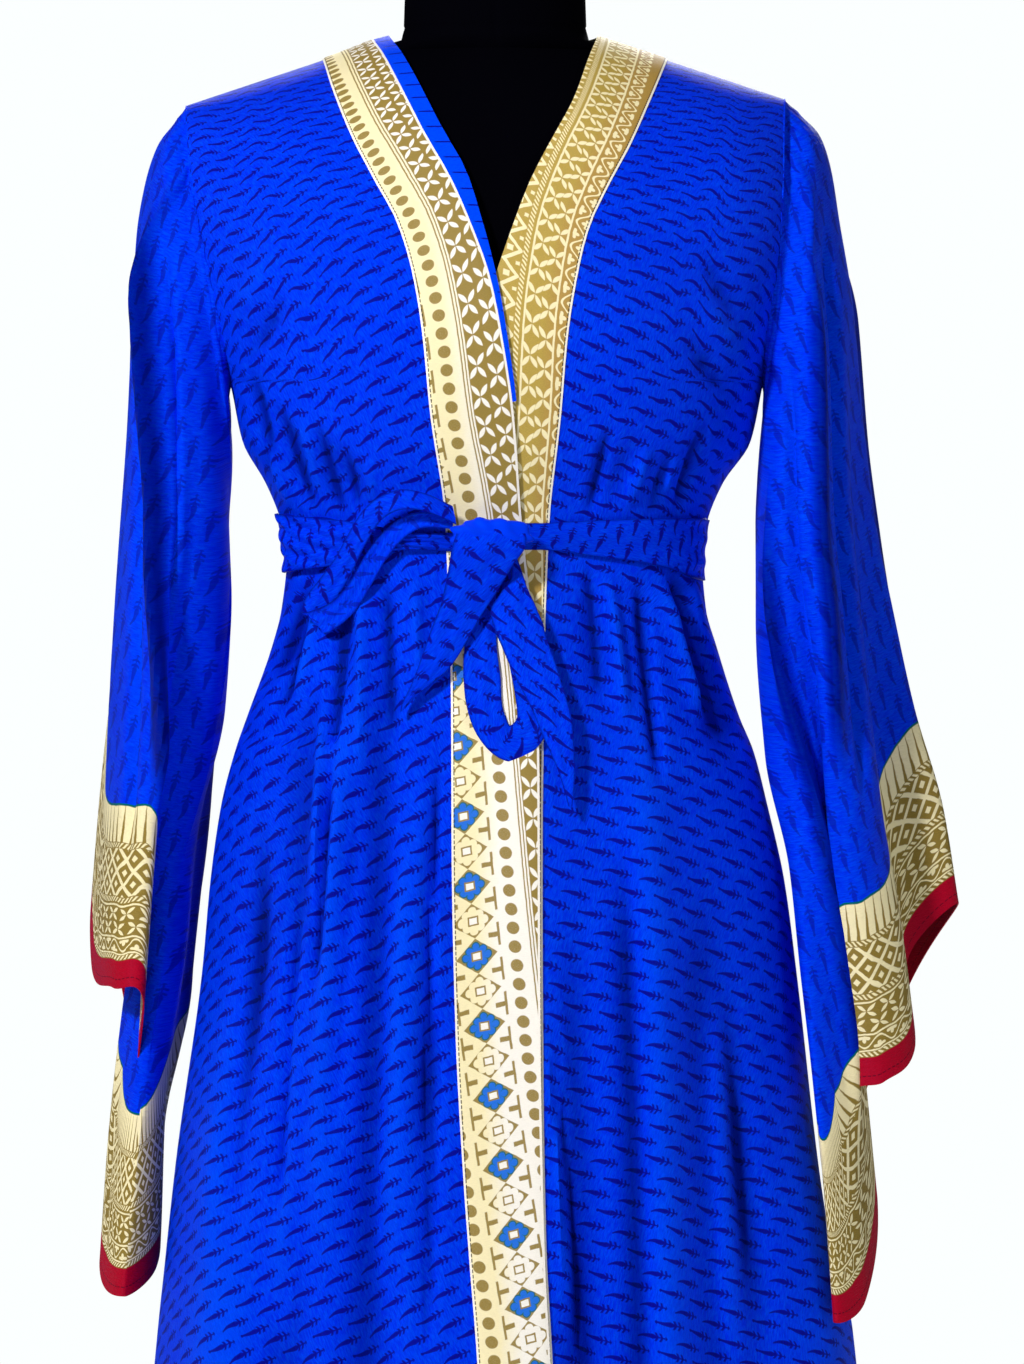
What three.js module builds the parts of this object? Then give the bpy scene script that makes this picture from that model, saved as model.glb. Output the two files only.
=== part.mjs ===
// A kimono robe, tied with its own belt, on a limbless dress form with a pole and a round base.
// Millimetres, +Z up. The robe's front faces -Y and the wearer's left side is +X. The origin is the
// centre of the base's underside. "Right" and "left" in names are the wearer's.

import * as THREE from 'three';

// ---------------------------------------------------------------------------------------------
// Driving dimensions
// ---------------------------------------------------------------------------------------------

const WALL = 1.6; // thickness of one layer of cloth, with its seam allowances
const TIE_WALL = 2.2; // the belt is folded double
const SEAM = 0.4; // clear width between two edges that are sewn together
const HEM_HEIGHT = 88;
const SLIT_TOP = 545; // height where the side seams end and the slits start
const SLIT_SPREAD = 9; // degrees that a front's side edge has turned forward at the hem
const ARMPIT = 1165; // height of the lowest point of the armholes
const NECK_POINT = { x: 67, z: 1391 }; // where the shoulder seams meet the neck
const SHOULDER_SLOPE = 0.333; // fall of the shoulder seam for each millimetre outward
const SHOULDER_ROLL = 70; // drop over which the shoulders round off to the front and the back
const BODY_ROUND = 2.3; // exponent of the body's superellipse sections
const CROSS_LIFT = 2.3; // how far the right front stands off where it lies on the left one
const BACK_NECK_DEPTH = 74; // fall of the back neck seam below the line of the shoulder seams
const BAND_SHOULDER_X = 112; // where the band's seam crosses the shoulder seam

const FORM_GAP = 0.9; // clear space between the form's shoulders and the cloth
const FORM_EASE = 6; // further clear space below the shoulders
const EASE_DROP = { from: 60, to: 170 }; // drops below the neck point over which that space opens
const FORM_BOTTOM = 800;
const STAND_SEAT = 0.3; // clear space between the parts of the stand and the form
const NECK = { top: 1438, width: 59, depth: 56 };
const CAP = { radius: 52, height: 14 };
const POLE_RADIUS = 12;
const BASE = { radius: 150, height: 14, edge: 4 };

// Half widths and depths of the robe's outer face, from the hem up.
const BODY = [
  { z: 88, right: 262, left: 276, front: 176, back: 186 },
  { z: 300, right: 241, left: 254, front: 161, back: 169 },
  { z: 534, right: 220.5, left: 229, front: 146, back: 152 },
  { z: 660, right: 207.5, left: 210, front: 134, back: 141 },
  { z: 783, right: 190.5, left: 196, front: 123, back: 131 },
  { z: 843, right: 185, left: 188, front: 118, back: 127 },
  { z: 892, right: 178, left: 177, front: 114, back: 123 },
  { z: 927, right: 169, left: 168, front: 111, back: 119 },
  { z: 950, right: 161, left: 158.5, front: 108, back: 114 },
  { z: 995, right: 145, left: 144, front: 101, back: 101 },
  { z: 1020, right: 138.7, left: 137, front: 97, back: 92 },
  { z: 1048, right: 136, left: 135, front: 95, back: 87 },
  { z: 1069, right: 140, left: 138.7, front: 98, back: 88 },
  { z: 1101, right: 150, left: 149, front: 106, back: 93 },
  { z: 1128, right: 164, left: 166, front: 115, back: 98 },
  { z: 1165, right: 172, left: 174, front: 124, back: 104 },
  { z: 1195, right: 182, left: 181, front: 127, back: 107 },
  { z: 1242, right: 199, left: 194, front: 121, back: 107 },
  { z: 1290, right: 213, left: 201, front: 106, back: 103 },
  { z: 1335, right: 217, left: 203, front: 88, back: 93 },
  { z: 1391, right: 219, left: 206, front: 68, back: 84 },
  { z: 1440, right: 219, left: 206, front: 60, back: 80 },
];

// Part of the body's half width that the armhole seam leaves outside itself.
const ARMHOLE = [
  { z: 1165, inside: 0 },
  { z: 1195, inside: 0.03 },
  { z: 1242, inside: 0.06 },
  { z: 1290, inside: 0.08 },
  { z: 1400, inside: 0.08 },
];

// Half widths of the dress form. Its depths are the robe's, less the clear space.
const FORM = [
  { z: FORM_BOTTOM, half: 168 },
  { z: 880, half: 166 },
  { z: 927, half: 158 },
  { z: 995, half: 135 },
  { z: 1048, half: 126 },
  { z: 1101, half: 136 },
  { z: 1165, half: 158 },
  { z: 1242, half: 172 },
  { z: 1300, half: 178 },
  { z: 1350, half: 184 },
  { z: 1440, half: 184 },
];

// The seam and the free edge of each front band, as x along the front.
const RIGHT_BAND = [
  { z: 88, seam: 4, free: 50 },
  { z: 300, seam: -3, free: 43 },
  { z: 533, seam: -11, free: 35.5 },
  { z: 599, seam: -16, free: 32 },
  { z: 654, seam: -20, free: 30.5 },
  { z: 748, seam: -25, free: 29 },
  { z: 860, seam: -27.5, free: 28.5 },
  { z: 960, seam: -28, free: 27.5 },
  { z: 1077, seam: -32, free: 17 },
  { z: 1144, seam: -41, free: 12 },
  { z: 1195, seam: -46, free: 4.5 },
  { z: 1232, seam: -52, free: -3 },
  { z: 1266, seam: -62, free: -15 },
  { z: 1296, seam: -78, free: -28 },
  { z: 1325, seam: -93, free: -44.5 },
  { z: 1355, seam: -105, free: -60 },
  { z: 1376, seam: -112, free: -71 },
  { z: 1388, seam: -117, free: -78.5 },
  { z: 1400, seam: -121, free: -82 },
];
const LEFT_BAND = [
  { z: 88, seam: 52, free: 8 },
  { z: 300, seam: 46, free: 2 },
  { z: 537, seam: 37, free: -6 },
  { z: 613, seam: 33, free: -11 },
  { z: 729, seam: 31, free: -17 },
  { z: 860, seam: 30.5, free: -20 },
  { z: 999, seam: 32, free: -20 },
  { z: 1077, seam: 35.5, free: -22 },
  { z: 1144, seam: 42.6, free: -20 },
  { z: 1195, seam: 47, free: -12 },
  { z: 1238, seam: 54, free: 2 },
  { z: 1264, seam: 60.6, free: 11 },
  { z: 1293, seam: 74, free: 22 },
  { z: 1317, seam: 87, free: 34 },
  { z: 1349, seam: 101, free: 51 },
  { z: 1376, seam: 112, free: 60.5 },
  { z: 1392, seam: 118, free: 66.5 },
  { z: 1400, seam: 121, free: 68 },
];

// The blue inner face that rolls out along the right band's free edge: its width at each height.
const UNDERSIDE = [
  { z: 1150, width: 2.5 },
  { z: 1232, width: 4 },
  { z: 1266, width: 7 },
  { z: 1310, width: 11 },
  { z: 1355, width: 11 },
  { z: 1400, width: 9 },
];

// Folds of the body. Each runs from (fromX, fromZ) down to (toX, toZ) and is a ridge where out is
// positive and a trough where it is negative. "wide" is the half width and "soft" the fade at each end.
const FOLDS = [
  { face: 'front', fromX: -92, fromZ: 1070, toX: -140, toZ: 1150, out: -3, wide: 11, soft: 30 },
  { face: 'front', fromX: -78, fromZ: 1080, toX: -116, toZ: 1140, out: -3, wide: 9, soft: 30 },
  { face: 'front', fromX: -95, fromZ: 1015, toX: -112, toZ: 560, out: 8, wide: 17, soft: 120 },
  { face: 'front', fromX: -72, fromZ: 1010, toX: -88, toZ: 420, out: -6, wide: 12, soft: 110 },
  { face: 'front', fromX: -118, fromZ: 1000, toX: -150, toZ: 300, out: -5, wide: 14, soft: 110 },
  { face: 'front', fromX: -42, fromZ: 940, toX: -50, toZ: 120, out: 5, wide: 12, soft: 120 },
  { face: 'front', fromX: -160, fromZ: 820, toX: -196, toZ: 100, out: 9, wide: 19, soft: 160 },
  { face: 'front', fromX: 73, fromZ: 1080, toX: 90, toZ: 1140, out: -3, wide: 9, soft: 30 },
  { face: 'front', fromX: 60, fromZ: 1045, toX: 70, toZ: 940, out: -4, wide: 9, soft: 50 },
  { face: 'front', fromX: 112, fromZ: 1045, toX: 160, toZ: 900, out: -6, wide: 12, soft: 60 },
  { face: 'front', fromX: 92, fromZ: 1010, toX: 116, toZ: 300, out: 6, wide: 17, soft: 140 },
  { face: 'front', fromX: 132, fromZ: 880, toX: 176, toZ: 100, out: -6, wide: 16, soft: 140 },
  { face: 'front', fromX: 50, fromZ: 860, toX: 66, toZ: 100, out: -5, wide: 11, soft: 140 },
  { face: 'front', fromX: 200, fromZ: 780, toX: 236, toZ: 100, out: 6, wide: 18, soft: 160 },
  { face: 'back', fromX: -8, fromZ: 1030, toX: -22, toZ: 100, out: -7, wide: 16, soft: 160 },
  { face: 'back', fromX: 44, fromZ: 1040, toX: 62, toZ: 100, out: 8, wide: 20, soft: 170 },
  { face: 'back', fromX: -52, fromZ: 1040, toX: -84, toZ: 100, out: 9, wide: 21, soft: 180 },
  { face: 'back', fromX: 88, fromZ: 1020, toX: 130, toZ: 100, out: -7, wide: 18, soft: 150 },
  { face: 'back', fromX: -96, fromZ: 1020, toX: -146, toZ: 100, out: -7, wide: 18, soft: 150 },
  { face: 'back', fromX: 128, fromZ: 960, toX: 196, toZ: 100, out: 8, wide: 22, soft: 180 },
  { face: 'back', fromX: -130, fromZ: 960, toX: -200, toZ: 100, out: 7, wide: 20, soft: 180 },
  { face: 'back', fromX: 24, fromZ: 1072, toX: 52, toZ: 1160, out: -3, wide: 12, soft: 36 },
  { face: 'back', fromX: -28, fromZ: 1072, toX: -60, toZ: 1160, out: -3, wide: 12, soft: 36 },
];

// Sleeves. "drop" is the part of the way from the armhole to the hem. outer and inner are x distances
// from the robe's middle, deep is the half depth, and middle is the y of the tube's centre.
const SLEEVE_SECTIONS = {
  right: [
    { drop: 0, outer: 201, inner: 173, deep: 48, middle: 2 },
    { drop: 0.05, outer: 219, inner: 173.5, deep: 49, middle: 2 },
    { drop: 0.09, outer: 226, inner: 171, deep: 50, middle: 3 },
    { drop: 0.15, outer: 232, inner: 173, deep: 53, middle: 4 },
    { drop: 0.25, outer: 236, inner: 171, deep: 57, middle: 6 },
    { drop: 0.4, outer: 240, inner: 176, deep: 62, middle: 9 },
    { drop: 0.52, outer: 244, inner: 191, deep: 66, middle: 11 },
    { drop: 0.64, outer: 248, inner: 200, deep: 70, middle: 12 },
    { drop: 0.76, outer: 252, inner: 210, deep: 73, middle: 12 },
    { drop: 0.88, outer: 257, inner: 217, deep: 76, middle: 12 },
    { drop: 1, outer: 262, inner: 222, deep: 78, middle: 12 },
  ],
  left: [
    { drop: 0, outer: 190, inner: 175, deep: 48, middle: 2 },
    { drop: 0.05, outer: 211, inner: 176, deep: 49, middle: 2 },
    { drop: 0.09, outer: 217, inner: 173, deep: 50, middle: 1 },
    { drop: 0.15, outer: 222, inner: 170, deep: 53, middle: 0 },
    { drop: 0.25, outer: 231, inner: 170, deep: 57, middle: -2 },
    { drop: 0.4, outer: 239, inner: 177, deep: 62, middle: -4 },
    { drop: 0.52, outer: 247, inner: 194, deep: 66, middle: -6 },
    { drop: 0.64, outer: 259, inner: 203, deep: 70, middle: -8 },
    { drop: 0.76, outer: 272, inner: 212, deep: 73, middle: -8 },
    { drop: 0.88, outer: 290, inner: 220, deep: 76, middle: -8 },
    { drop: 1, outer: 301, inner: 226, deep: 78, middle: -8 },
  ],
};

// The sleeve hem's corners, going round from the underarm seam by the front to the outer fold and back.
// "turn" is the part of the way round, across is 0 at the outer fold and 1 at the side of the body.
const SLEEVE_HEM = {
  right: [
    { name: 'underarm seam', turn: 0, across: 0.55, y: -34, z: 574 },
    { name: 'tip edge', turn: 0.1, across: 0.12, y: -6, z: 592 },
    { name: 'hidden turn', turn: 0.18, across: 0.5, y: 2, z: 668 },
    { name: 'panel edge', turn: 0.27, across: 0.84, y: -48, z: 764 },
    { name: 'panel', turn: 0.38, across: 0.4, y: -42, z: 774 },
    { name: 'outer fold', turn: 0.5, across: 0, y: 2, z: 784 },
    { name: 'back corner', turn: 0.59, across: 0.08, y: 44, z: 846 },
    { name: 'back', turn: 0.72, across: 0.52, y: 88, z: 752 },
    { name: 'back inner', turn: 0.85, across: 0.98, y: 52, z: 650 },
    { name: 'inner', turn: 0.94, across: 1, y: -8, z: 592 },
  ],
  left: [
    { name: 'underarm seam', turn: 0, across: 1.1, y: -84, z: 560 },
    { name: 'tip edge', turn: 0.07, across: 0.84, y: -70, z: 572 },
    { name: 'hidden turn', turn: 0.16, across: 0.72, y: -36, z: 640 },
    { name: 'panel inner edge', turn: 0.25, across: 0.93, y: -56, z: 704 },
    { name: 'panel', turn: 0.33, across: 0.66, y: -62, z: 714 },
    { name: 'panel outer edge', turn: 0.4, across: 0.4, y: -44, z: 734 },
    { name: 'strip turn', turn: 0.45, across: 0.46, y: -12, z: 790 },
    { name: 'outer fold', turn: 0.53, across: 0, y: 8, z: 828 },
    { name: 'back', turn: 0.68, across: 0.42, y: 72, z: 770 },
    { name: 'back inner', turn: 0.84, across: 0.94, y: 44, z: 660 },
    { name: 'inner', turn: 0.94, across: 0.93, y: -36, z: 586 },
  ],
};

// Belt lengths that lie on the body: x along the waist, with the top and bottom edges' heights.
const TIES = {
  right: [
    { x: -135.5, top: 1081, bottom: 1043 },
    { x: -128, top: 1080, bottom: 1044 },
    { x: -112, top: 1078, bottom: 1046 },
    { x: -94, top: 1076, bottom: 1049 },
    { x: -74, top: 1071, bottom: 1055 },
    { x: -52, top: 1068, bottom: 1057 },
    { x: -33, top: 1068, bottom: 1056 },
  ],
  left: [
    { x: 134.5, top: 1077, bottom: 1038 },
    { x: 126, top: 1077.5, bottom: 1040 },
    { x: 108, top: 1077.5, bottom: 1046 },
    { x: 88, top: 1077, bottom: 1050 },
    { x: 64, top: 1076, bottom: 1053 },
    { x: 44, top: 1075, bottom: 1056 },
    { x: 31, top: 1074, bottom: 1057 },
  ],
};

// Loose lengths of the bow. x and z are the ribbon's middle line, out is its distance in front of the
// body, width is its width, and lean the direction of that width in degrees from +X.
const RIBBONS = {
  bow_loop_side: [
    { x: -30, z: 1081, out: 17, width: 12, lean: -88 },
    { x: -42, z: 1083, out: 19, width: 18, lean: -88 },
    { x: -60, z: 1081, out: 20, width: 23, lean: -78 },
    { x: -76, z: 1068, out: 20, width: 26, lean: -52 },
    { x: -87, z: 1050, out: 20, width: 28, lean: -34 },
    { x: -101, z: 1029, out: 20, width: 28, lean: -36 },
    { x: -116, z: 1014, out: 18, width: 24, lean: -42 },
    { x: -121, z: 1010, out: 15, width: 22, lean: -44 },
    { x: -116, z: 1014, out: 11.1, width: 23, lean: -44 },
    { x: -100, z: 1028, out: 10.4, width: 26, lean: -38 },
    { x: -84, z: 1047, out: 10, width: 24, lean: -38 },
    { x: -68, z: 1063, out: 9.2, width: 18, lean: -52 },
    { x: -48, z: 1072, out: 8.9, width: 13, lean: -76 },
    { x: -27, z: 1074, out: 9, width: 9, lean: -86 },
  ],
  bow_loop_low: [
    { x: 2, z: 1066, out: 4.8, width: 13, lean: 0 },
    { x: -2, z: 1040, out: 6, width: 20, lean: -4 },
    { x: -5, z: 1000, out: 8, width: 25, lean: -2 },
    { x: -6, z: 968, out: 8, width: 26, lean: 12 },
    { x: -2, z: 944, out: 8, width: 25, lean: 44 },
    { x: 9, z: 932, out: 8, width: 24, lean: 88 },
    { x: 20, z: 940, out: 9, width: 22, lean: 136 },
    { x: 24, z: 962, out: 10, width: 20, lean: 172 },
    { x: 23, z: 996, out: 10, width: 19, lean: 182 },
    { x: 22, z: 1034, out: 7, width: 15, lean: 186 },
    { x: 21.5, z: 1062, out: 4.8, width: 9, lean: 184 },
  ],
  bow_tail_broad: [
    { x: -3, z: 1070, out: 7.2, width: 32, lean: 0 },
    { x: -5, z: 1055, out: 8.6, width: 40, lean: 2 },
    { x: -11, z: 1035, out: 12, width: 45, lean: 8 },
    { x: -24, z: 1008, out: 14, width: 44, lean: 16 },
    { x: -35, z: 986, out: 13, width: 42, lean: 22 },
    { x: -46, z: 966, out: 11, width: 40, lean: 27 },
  ],
  bow_tail_long: [
    { x: 14, z: 1070, out: 10, width: 14, lean: -10 },
    { x: 14, z: 1050, out: 13, width: 19, lean: -20 },
    { x: 13, z: 1030, out: 16.5, width: 26, lean: -28 },
    { x: 20, z: 1000, out: 16, width: 30, lean: -26 },
    { x: 30, z: 970, out: 15, width: 23, lean: -24 },
    { x: 40, z: 940, out: 14, width: 16, lean: -20 },
    { x: 46, z: 912, out: 12, width: 8, lean: -12 },
    { x: 46.5, z: 888, out: 10, width: 2.5, lean: -6 },
  ],
};
const TIE_GAP = 0.9; // clear space between the belt and the cloth that it lies on
const TIE_DOME = 1.2; // how far the middle of a belt length stands proud of its edges
const TIE_HEIGHT = 1060; // height at which the belt's columns are spaced round the waist
const KNOT = { x: -1, z: 1068, half: { x: 30, y: 8, z: 17 }, out: 26.5 };

// Grid densities
const LOW_ROWS = [88, 140, 200, 265, 335, 405, 475, 545, 605, 665, 725, 785, 840, 888, 927, 962, 997,
  1024, 1048, 1072, 1101, 1130, ARMPIT];
const ARMHOLE_ROWS = 3; // rows between the armpit and the start of the shoulder's roll
const ROLL_ANGLES = [90, 68, 48, 30, 15, 0]; // degrees down from the shoulder seam
const FRONT_COLUMNS = 13;
const NECK_ANGLES = [90, 68, 48, 31, 18, 8, 0]; // degrees round the back neck from the shoulder seam
const BACK_SHOULDER_COLUMNS = 5;
const BACK_COLUMNS = NECK_ANGLES.length - 1 + BACK_SHOULDER_COLUMNS; // in each half
const BAND_COLUMNS = 3;
const SLEEVE_RINGS = 13;
const SLEEVE_SPLIT = 2; // sleeve columns for each row of the armhole
const SLEEVE_HANG = 0.16; // drop by which a sleeve has left the armhole's outline
const SLEEVE_FOLDING = { from: 0.12, to: 0.92 }; // drops over which it takes on the hem's outline
const TIE_STEPS = 14;
const FORM_COLUMNS = 28;
const FORM_HEIGHTS = [FORM_BOTTOM, 850, 900, 940, 980, 1015, 1048, 1085, 1125, 1165, 1205, 1245, 1280,
  1308, 1328, 1345, 1358, 1368, 1376, 1382];
const NECK_RINGS = [{ z: 1389, grow: 2 }, { z: 1397, grow: 0.5 }, { z: NECK.top, grow: -1 }];

// ---------------------------------------------------------------------------------------------
// Numbers
// ---------------------------------------------------------------------------------------------

const clamp = (v, low, high) => Math.min(high, Math.max(low, v));
const mix = (a, b, t) => a + (b - a) * t;
const smooth = (t) => clamp(t, 0, 1) ** 2 * (3 - 2 * clamp(t, 0, 1));
const radians = (degrees) => (degrees * Math.PI) / 180;
const side = (name) => (name === 'right' ? -1 : 1);

/** A smooth curve through one column of a table, sorted by another: cubic pieces with no overshoot. */
function along(rows, by, column, at) {
  const last = rows.length - 1;
  const v = clamp(at, rows[0][by], rows[last][by]);
  let i = 0;
  while (i < last - 1 && v > rows[i + 1][by]) i += 1;
  const slope = (k) => (rows[k + 1][column] - rows[k][column]) / (rows[k + 1][by] - rows[k][by]);
  const tangent = (k) => {
    if (k === 0) return slope(0);
    if (k === last) return slope(last - 1);
    const [before, after] = [slope(k - 1), slope(k)];
    return before * after <= 0 ? 0 : (2 * before * after) / (before + after);
  };
  const step = rows[i + 1][by] - rows[i][by];
  const t = (v - rows[i][by]) / step;
  const [a, b] = [rows[i][column], rows[i + 1][column]];
  const [ma, mb] = [tangent(i) * step, tangent(i + 1) * step];
  return a * (1 + 2 * t) * (1 - t) ** 2 + ma * t * (1 - t) ** 2 + b * t * t * (3 - 2 * t)
    + mb * t * t * (t - 1);
}

/** A smooth closed curve through one column of a table whose "turn" runs from 0 to 1. */
function around(rows, column, turn) {
  const count = rows.length;
  const row = (k) => rows[((k % count) + count) % count];
  const turnOf = (k) => row(k).turn + Math.floor(k / count);
  let i = 0;
  while (i < count - 1 && turn >= rows[i + 1].turn) i += 1;
  const tangent = (k) => (row(k + 1)[column] - row(k - 1)[column]) / (turnOf(k + 1) - turnOf(k - 1));
  const step = turnOf(i + 1) - turnOf(i);
  const t = (turn - turnOf(i)) / step;
  const [a, b] = [row(i)[column], row(i + 1)[column]];
  const [ma, mb] = [tangent(i) * step, tangent(i + 1) * step];
  return a * (1 + 2 * t) * (1 - t) ** 2 + ma * t * (1 - t) ** 2 + b * t * t * (3 - 2 * t)
    + mb * t * t * (t - 1);
}

// ---------------------------------------------------------------------------------------------
// The worn body
// ---------------------------------------------------------------------------------------------

const halfWidth = (x, z) => along(BODY, 'z', x < 0 ? 'right' : 'left', z);
const armholeX = (name, z) => side(name) * along(BODY, 'z', name, z) * (1 - along(ARMHOLE, 'z', 'inside', z));

/** Height of the shoulder seam's line over a point x across. */
const ridge = (x) => NECK_POINT.z - SHOULDER_SLOPE * (Math.abs(x) - NECK_POINT.x);

/** Height of a point that lies "drop" below the shoulder line on an edge whose x depends on height. */
function heightAtDrop(edgeX, drop) {
  let z = NECK_POINT.z - drop;
  for (let i = 0; i < 12; i += 1) z = ridge(edgeX(z)) - drop;
  return z;
}

/** How far the folds move the cloth out (or in, where negative) at a point of the body. */
function foldAt(x, z, face) {
  let out = 0;
  for (const fold of FOLDS) {
    if (fold.face !== face) continue;
    const t = (z - fold.fromZ) / (fold.toZ - fold.fromZ);
    const length = Math.abs(fold.toZ - fold.fromZ);
    const middle = mix(fold.fromX, fold.toX, clamp(t, 0, 1));
    const wide = fold.wide * (1 + 0.6 * smooth((900 - z) / 800));
    const start = smooth((t * length) / fold.soft);
    const end = fold.toZ < 150 ? 1 : smooth(((1 - t) * length) / fold.soft);
    out += fold.out * Math.exp(-(((x - middle) / wide) ** 2)) * start * end;
  }
  return out;
}

/** Extra distance of the right front from the body where it lies on the left one. */
const crossLift = (name, x) => (name === 'right' ? CROSS_LIFT * smooth((x + 118) / 84) : 0);

/**
 * A point of the worn body's outer face and its outward normal.
 * Each level is a superellipse, (x/a)^n + (y/b)^n = 1, and its depth b is rounded off towards the
 * shoulder line by a quarter circle: y = b C(x) sqrt(1 - m^2), with m falling from 1 on that line.
 */
function onBody(x, z, face, lift = 0) {
  const a = halfWidth(x, z);
  const b = along(BODY, 'z', face, z);
  const s = Math.min(Math.abs(x) / a, 1);
  const rest = Math.max(1 - s ** BODY_ROUND, 0);
  const c = rest ** (1 / BODY_ROUND);
  const m = clamp(1 - (ridge(x) - z) / SHOULDER_ROLL, 0, 1);
  const r = Math.sqrt(1 - m * m);
  const out = face === 'front' ? -1 : 1;
  const across = Math.sign(x);
  const slope = SHOULDER_SLOPE * across * smooth(Math.abs(x) / 30);
  const steep = Math.max(rest, 1e-4) ** (2 / BODY_ROUND - 1);
  const normal = new THREE.Vector3(
    (r * r * across * s ** (BODY_ROUND - 1) * steep) / a
      + (m * c * c * slope) / SHOULDER_ROLL,
    (out * r * c) / b,
    (m * c * c) / SHOULDER_ROLL,
  ).normalize();
  const point = new THREE.Vector3(x, out * b * c * r, z);
  point.addScaledVector(normal, lift + foldAt(x, z, face));
  return { point, normal };
}

// ---------------------------------------------------------------------------------------------
// Solids from grids
// ---------------------------------------------------------------------------------------------

/**
 * A closed wall from a grid of { point, normal }: its outer face lies on the points and its inner face
 * "wall" behind them. A closed grid joins its last column to its first.
 */
function wallFromGrid(grid, wall, closed = false) {
  const rows = grid.length;
  const columns = grid[0].length;
  const positions = [];
  for (const depth of [0, wall]) {
    for (const row of grid) {
      for (const { point, normal } of row) {
        positions.push(point.x - normal.x * depth, point.y - normal.y * depth, point.z - normal.z * depth);
      }
    }
  }
  const outer = (i, j) => i * columns + (j % columns);
  const inner = (i, j) => rows * columns + outer(i, j);
  const triangles = [];
  const quad = (a, b, c, d) => triangles.push(a, b, c, a, c, d);
  const span = closed ? columns : columns - 1;
  for (let i = 0; i < rows - 1; i += 1) {
    for (let j = 0; j < span; j += 1) {
      quad(outer(i, j), outer(i, j + 1), outer(i + 1, j + 1), outer(i + 1, j));
      quad(inner(i, j), inner(i + 1, j), inner(i + 1, j + 1), inner(i, j + 1));
    }
    if (!closed) {
      quad(outer(i, 0), outer(i + 1, 0), inner(i + 1, 0), inner(i, 0));
      quad(outer(i + 1, span), outer(i, span), inner(i, span), inner(i + 1, span));
    }
  }
  for (let j = 0; j < span; j += 1) {
    quad(outer(0, j + 1), outer(0, j), inner(0, j), inner(0, j + 1));
    quad(outer(rows - 1, j), outer(rows - 1, j + 1), inner(rows - 1, j + 1), inner(rows - 1, j));
  }
  return solid(positions, triangles);
}

/** A closed body from rings of points, from the bottom up, with a fan of triangles on each end. */
function stackOfRings(rings) {
  const columns = rings[0].length;
  const positions = rings.flat().flatMap((p) => [p.x, p.y, p.z]);
  const triangles = [];
  const at = (i, j) => i * columns + (j % columns);
  for (let i = 0; i < rings.length - 1; i += 1) {
    for (let j = 0; j < columns; j += 1) {
      triangles.push(at(i, j), at(i, j + 1), at(i + 1, j + 1), at(i, j), at(i + 1, j + 1), at(i + 1, j));
    }
  }
  for (const [i, flip] of [[0, true], [rings.length - 1, false]]) {
    const middle = new THREE.Vector3();
    rings[i].forEach((p) => middle.addScaledVector(p, 1 / columns));
    const centre = positions.length / 3;
    positions.push(middle.x, middle.y, middle.z);
    for (let j = 0; j < columns; j += 1) {
      triangles.push(centre, flip ? at(i, j + 1) : at(i, j), flip ? at(i, j) : at(i, j + 1));
    }
  }
  return solid(positions, triangles);
}

/** A geometry whose triangles face outward, turned over as a whole where its volume is negative. */
function solid(positions, triangles) {
  const corner = (k) => new THREE.Vector3().fromArray(positions, triangles[k] * 3);
  let volume = 0;
  for (let k = 0; k < triangles.length; k += 3) {
    volume += corner(k).dot(corner(k + 1).cross(corner(k + 2)));
  }
  if (volume < 0) {
    for (let k = 0; k < triangles.length; k += 3) {
      [triangles[k + 1], triangles[k + 2]] = [triangles[k + 2], triangles[k + 1]];
    }
  }
  const geometry = new THREE.BufferGeometry();
  geometry.setAttribute('position', new THREE.Float32BufferAttribute(positions, 3));
  geometry.setIndex(triangles);
  return geometry;
}

// ---------------------------------------------------------------------------------------------
// The robe's panels and bands
// ---------------------------------------------------------------------------------------------

const BANDS = { right: RIGHT_BAND, left: LEFT_BAND };
const seamX = (name, z) => along(BANDS[name], 'z', 'seam', z);
const freeX = (name, z) => along(BANDS[name], 'z', 'free', z);

/**
 * The rows that a front, its band and the armhole share. Each gives the height of the band's free
 * edge, of the band's seam and of the outer edge: level below the armpit, and following the slope of
 * the shoulder above it.
 */
function sharedRows(name) {
  const edges = {
    free: (z) => freeX(name, z),
    seam: (z) => seamX(name, z),
    outer: (z) => armholeX(name, z),
  };
  const rows = LOW_ROWS.map((z) => ({ free: z, seam: z, outer: z, sloped: false }));
  const drops = ROLL_ANGLES.map((angle) => SHOULDER_ROLL * (1 - Math.cos(radians(angle))));
  const rollStart = Object.fromEntries(
    Object.entries(edges).map(([key, edge]) => [key, heightAtDrop(edge, drops[0])]),
  );
  for (let i = 1; i < ARMHOLE_ROWS; i += 1) {
    const t = i / ARMHOLE_ROWS;
    const row = { sloped: true };
    for (const key of Object.keys(edges)) row[key] = mix(ARMPIT, rollStart[key], t);
    rows.push(row);
  }
  for (const drop of drops) {
    const row = { sloped: true };
    for (const [key, edge] of Object.entries(edges)) row[key] = heightAtDrop(edge, drop);
    rows.push(row);
  }
  return rows;
}

/** Angle round the body, from the centre front or back to the side seam, of a point x across. */
const angleOf = (x, z) => Math.asin(Math.min(Math.abs(x) / halfWidth(x, z), 1) ** (BODY_ROUND / 2));
const acrossAt = (sign, angle, z) => sign * halfWidth(sign, z) * Math.sin(angle) ** (2 / BODY_ROUND);

/** Moves a seam point sideways, so that the two edges of a side or shoulder seam are SEAM apart. */
function parted(spot, face) {
  spot.point.y += (face === 'front' ? -1 : 1) * (SEAM / 2);
  return spot;
}

/** How far a side edge has turned from the side seam at a height below the top of the slit. */
const slitTurn = (z) => radians(SLIT_SPREAD) * smooth((SLIT_TOP - z) / (SLIT_TOP - HEM_HEIGHT));

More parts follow.
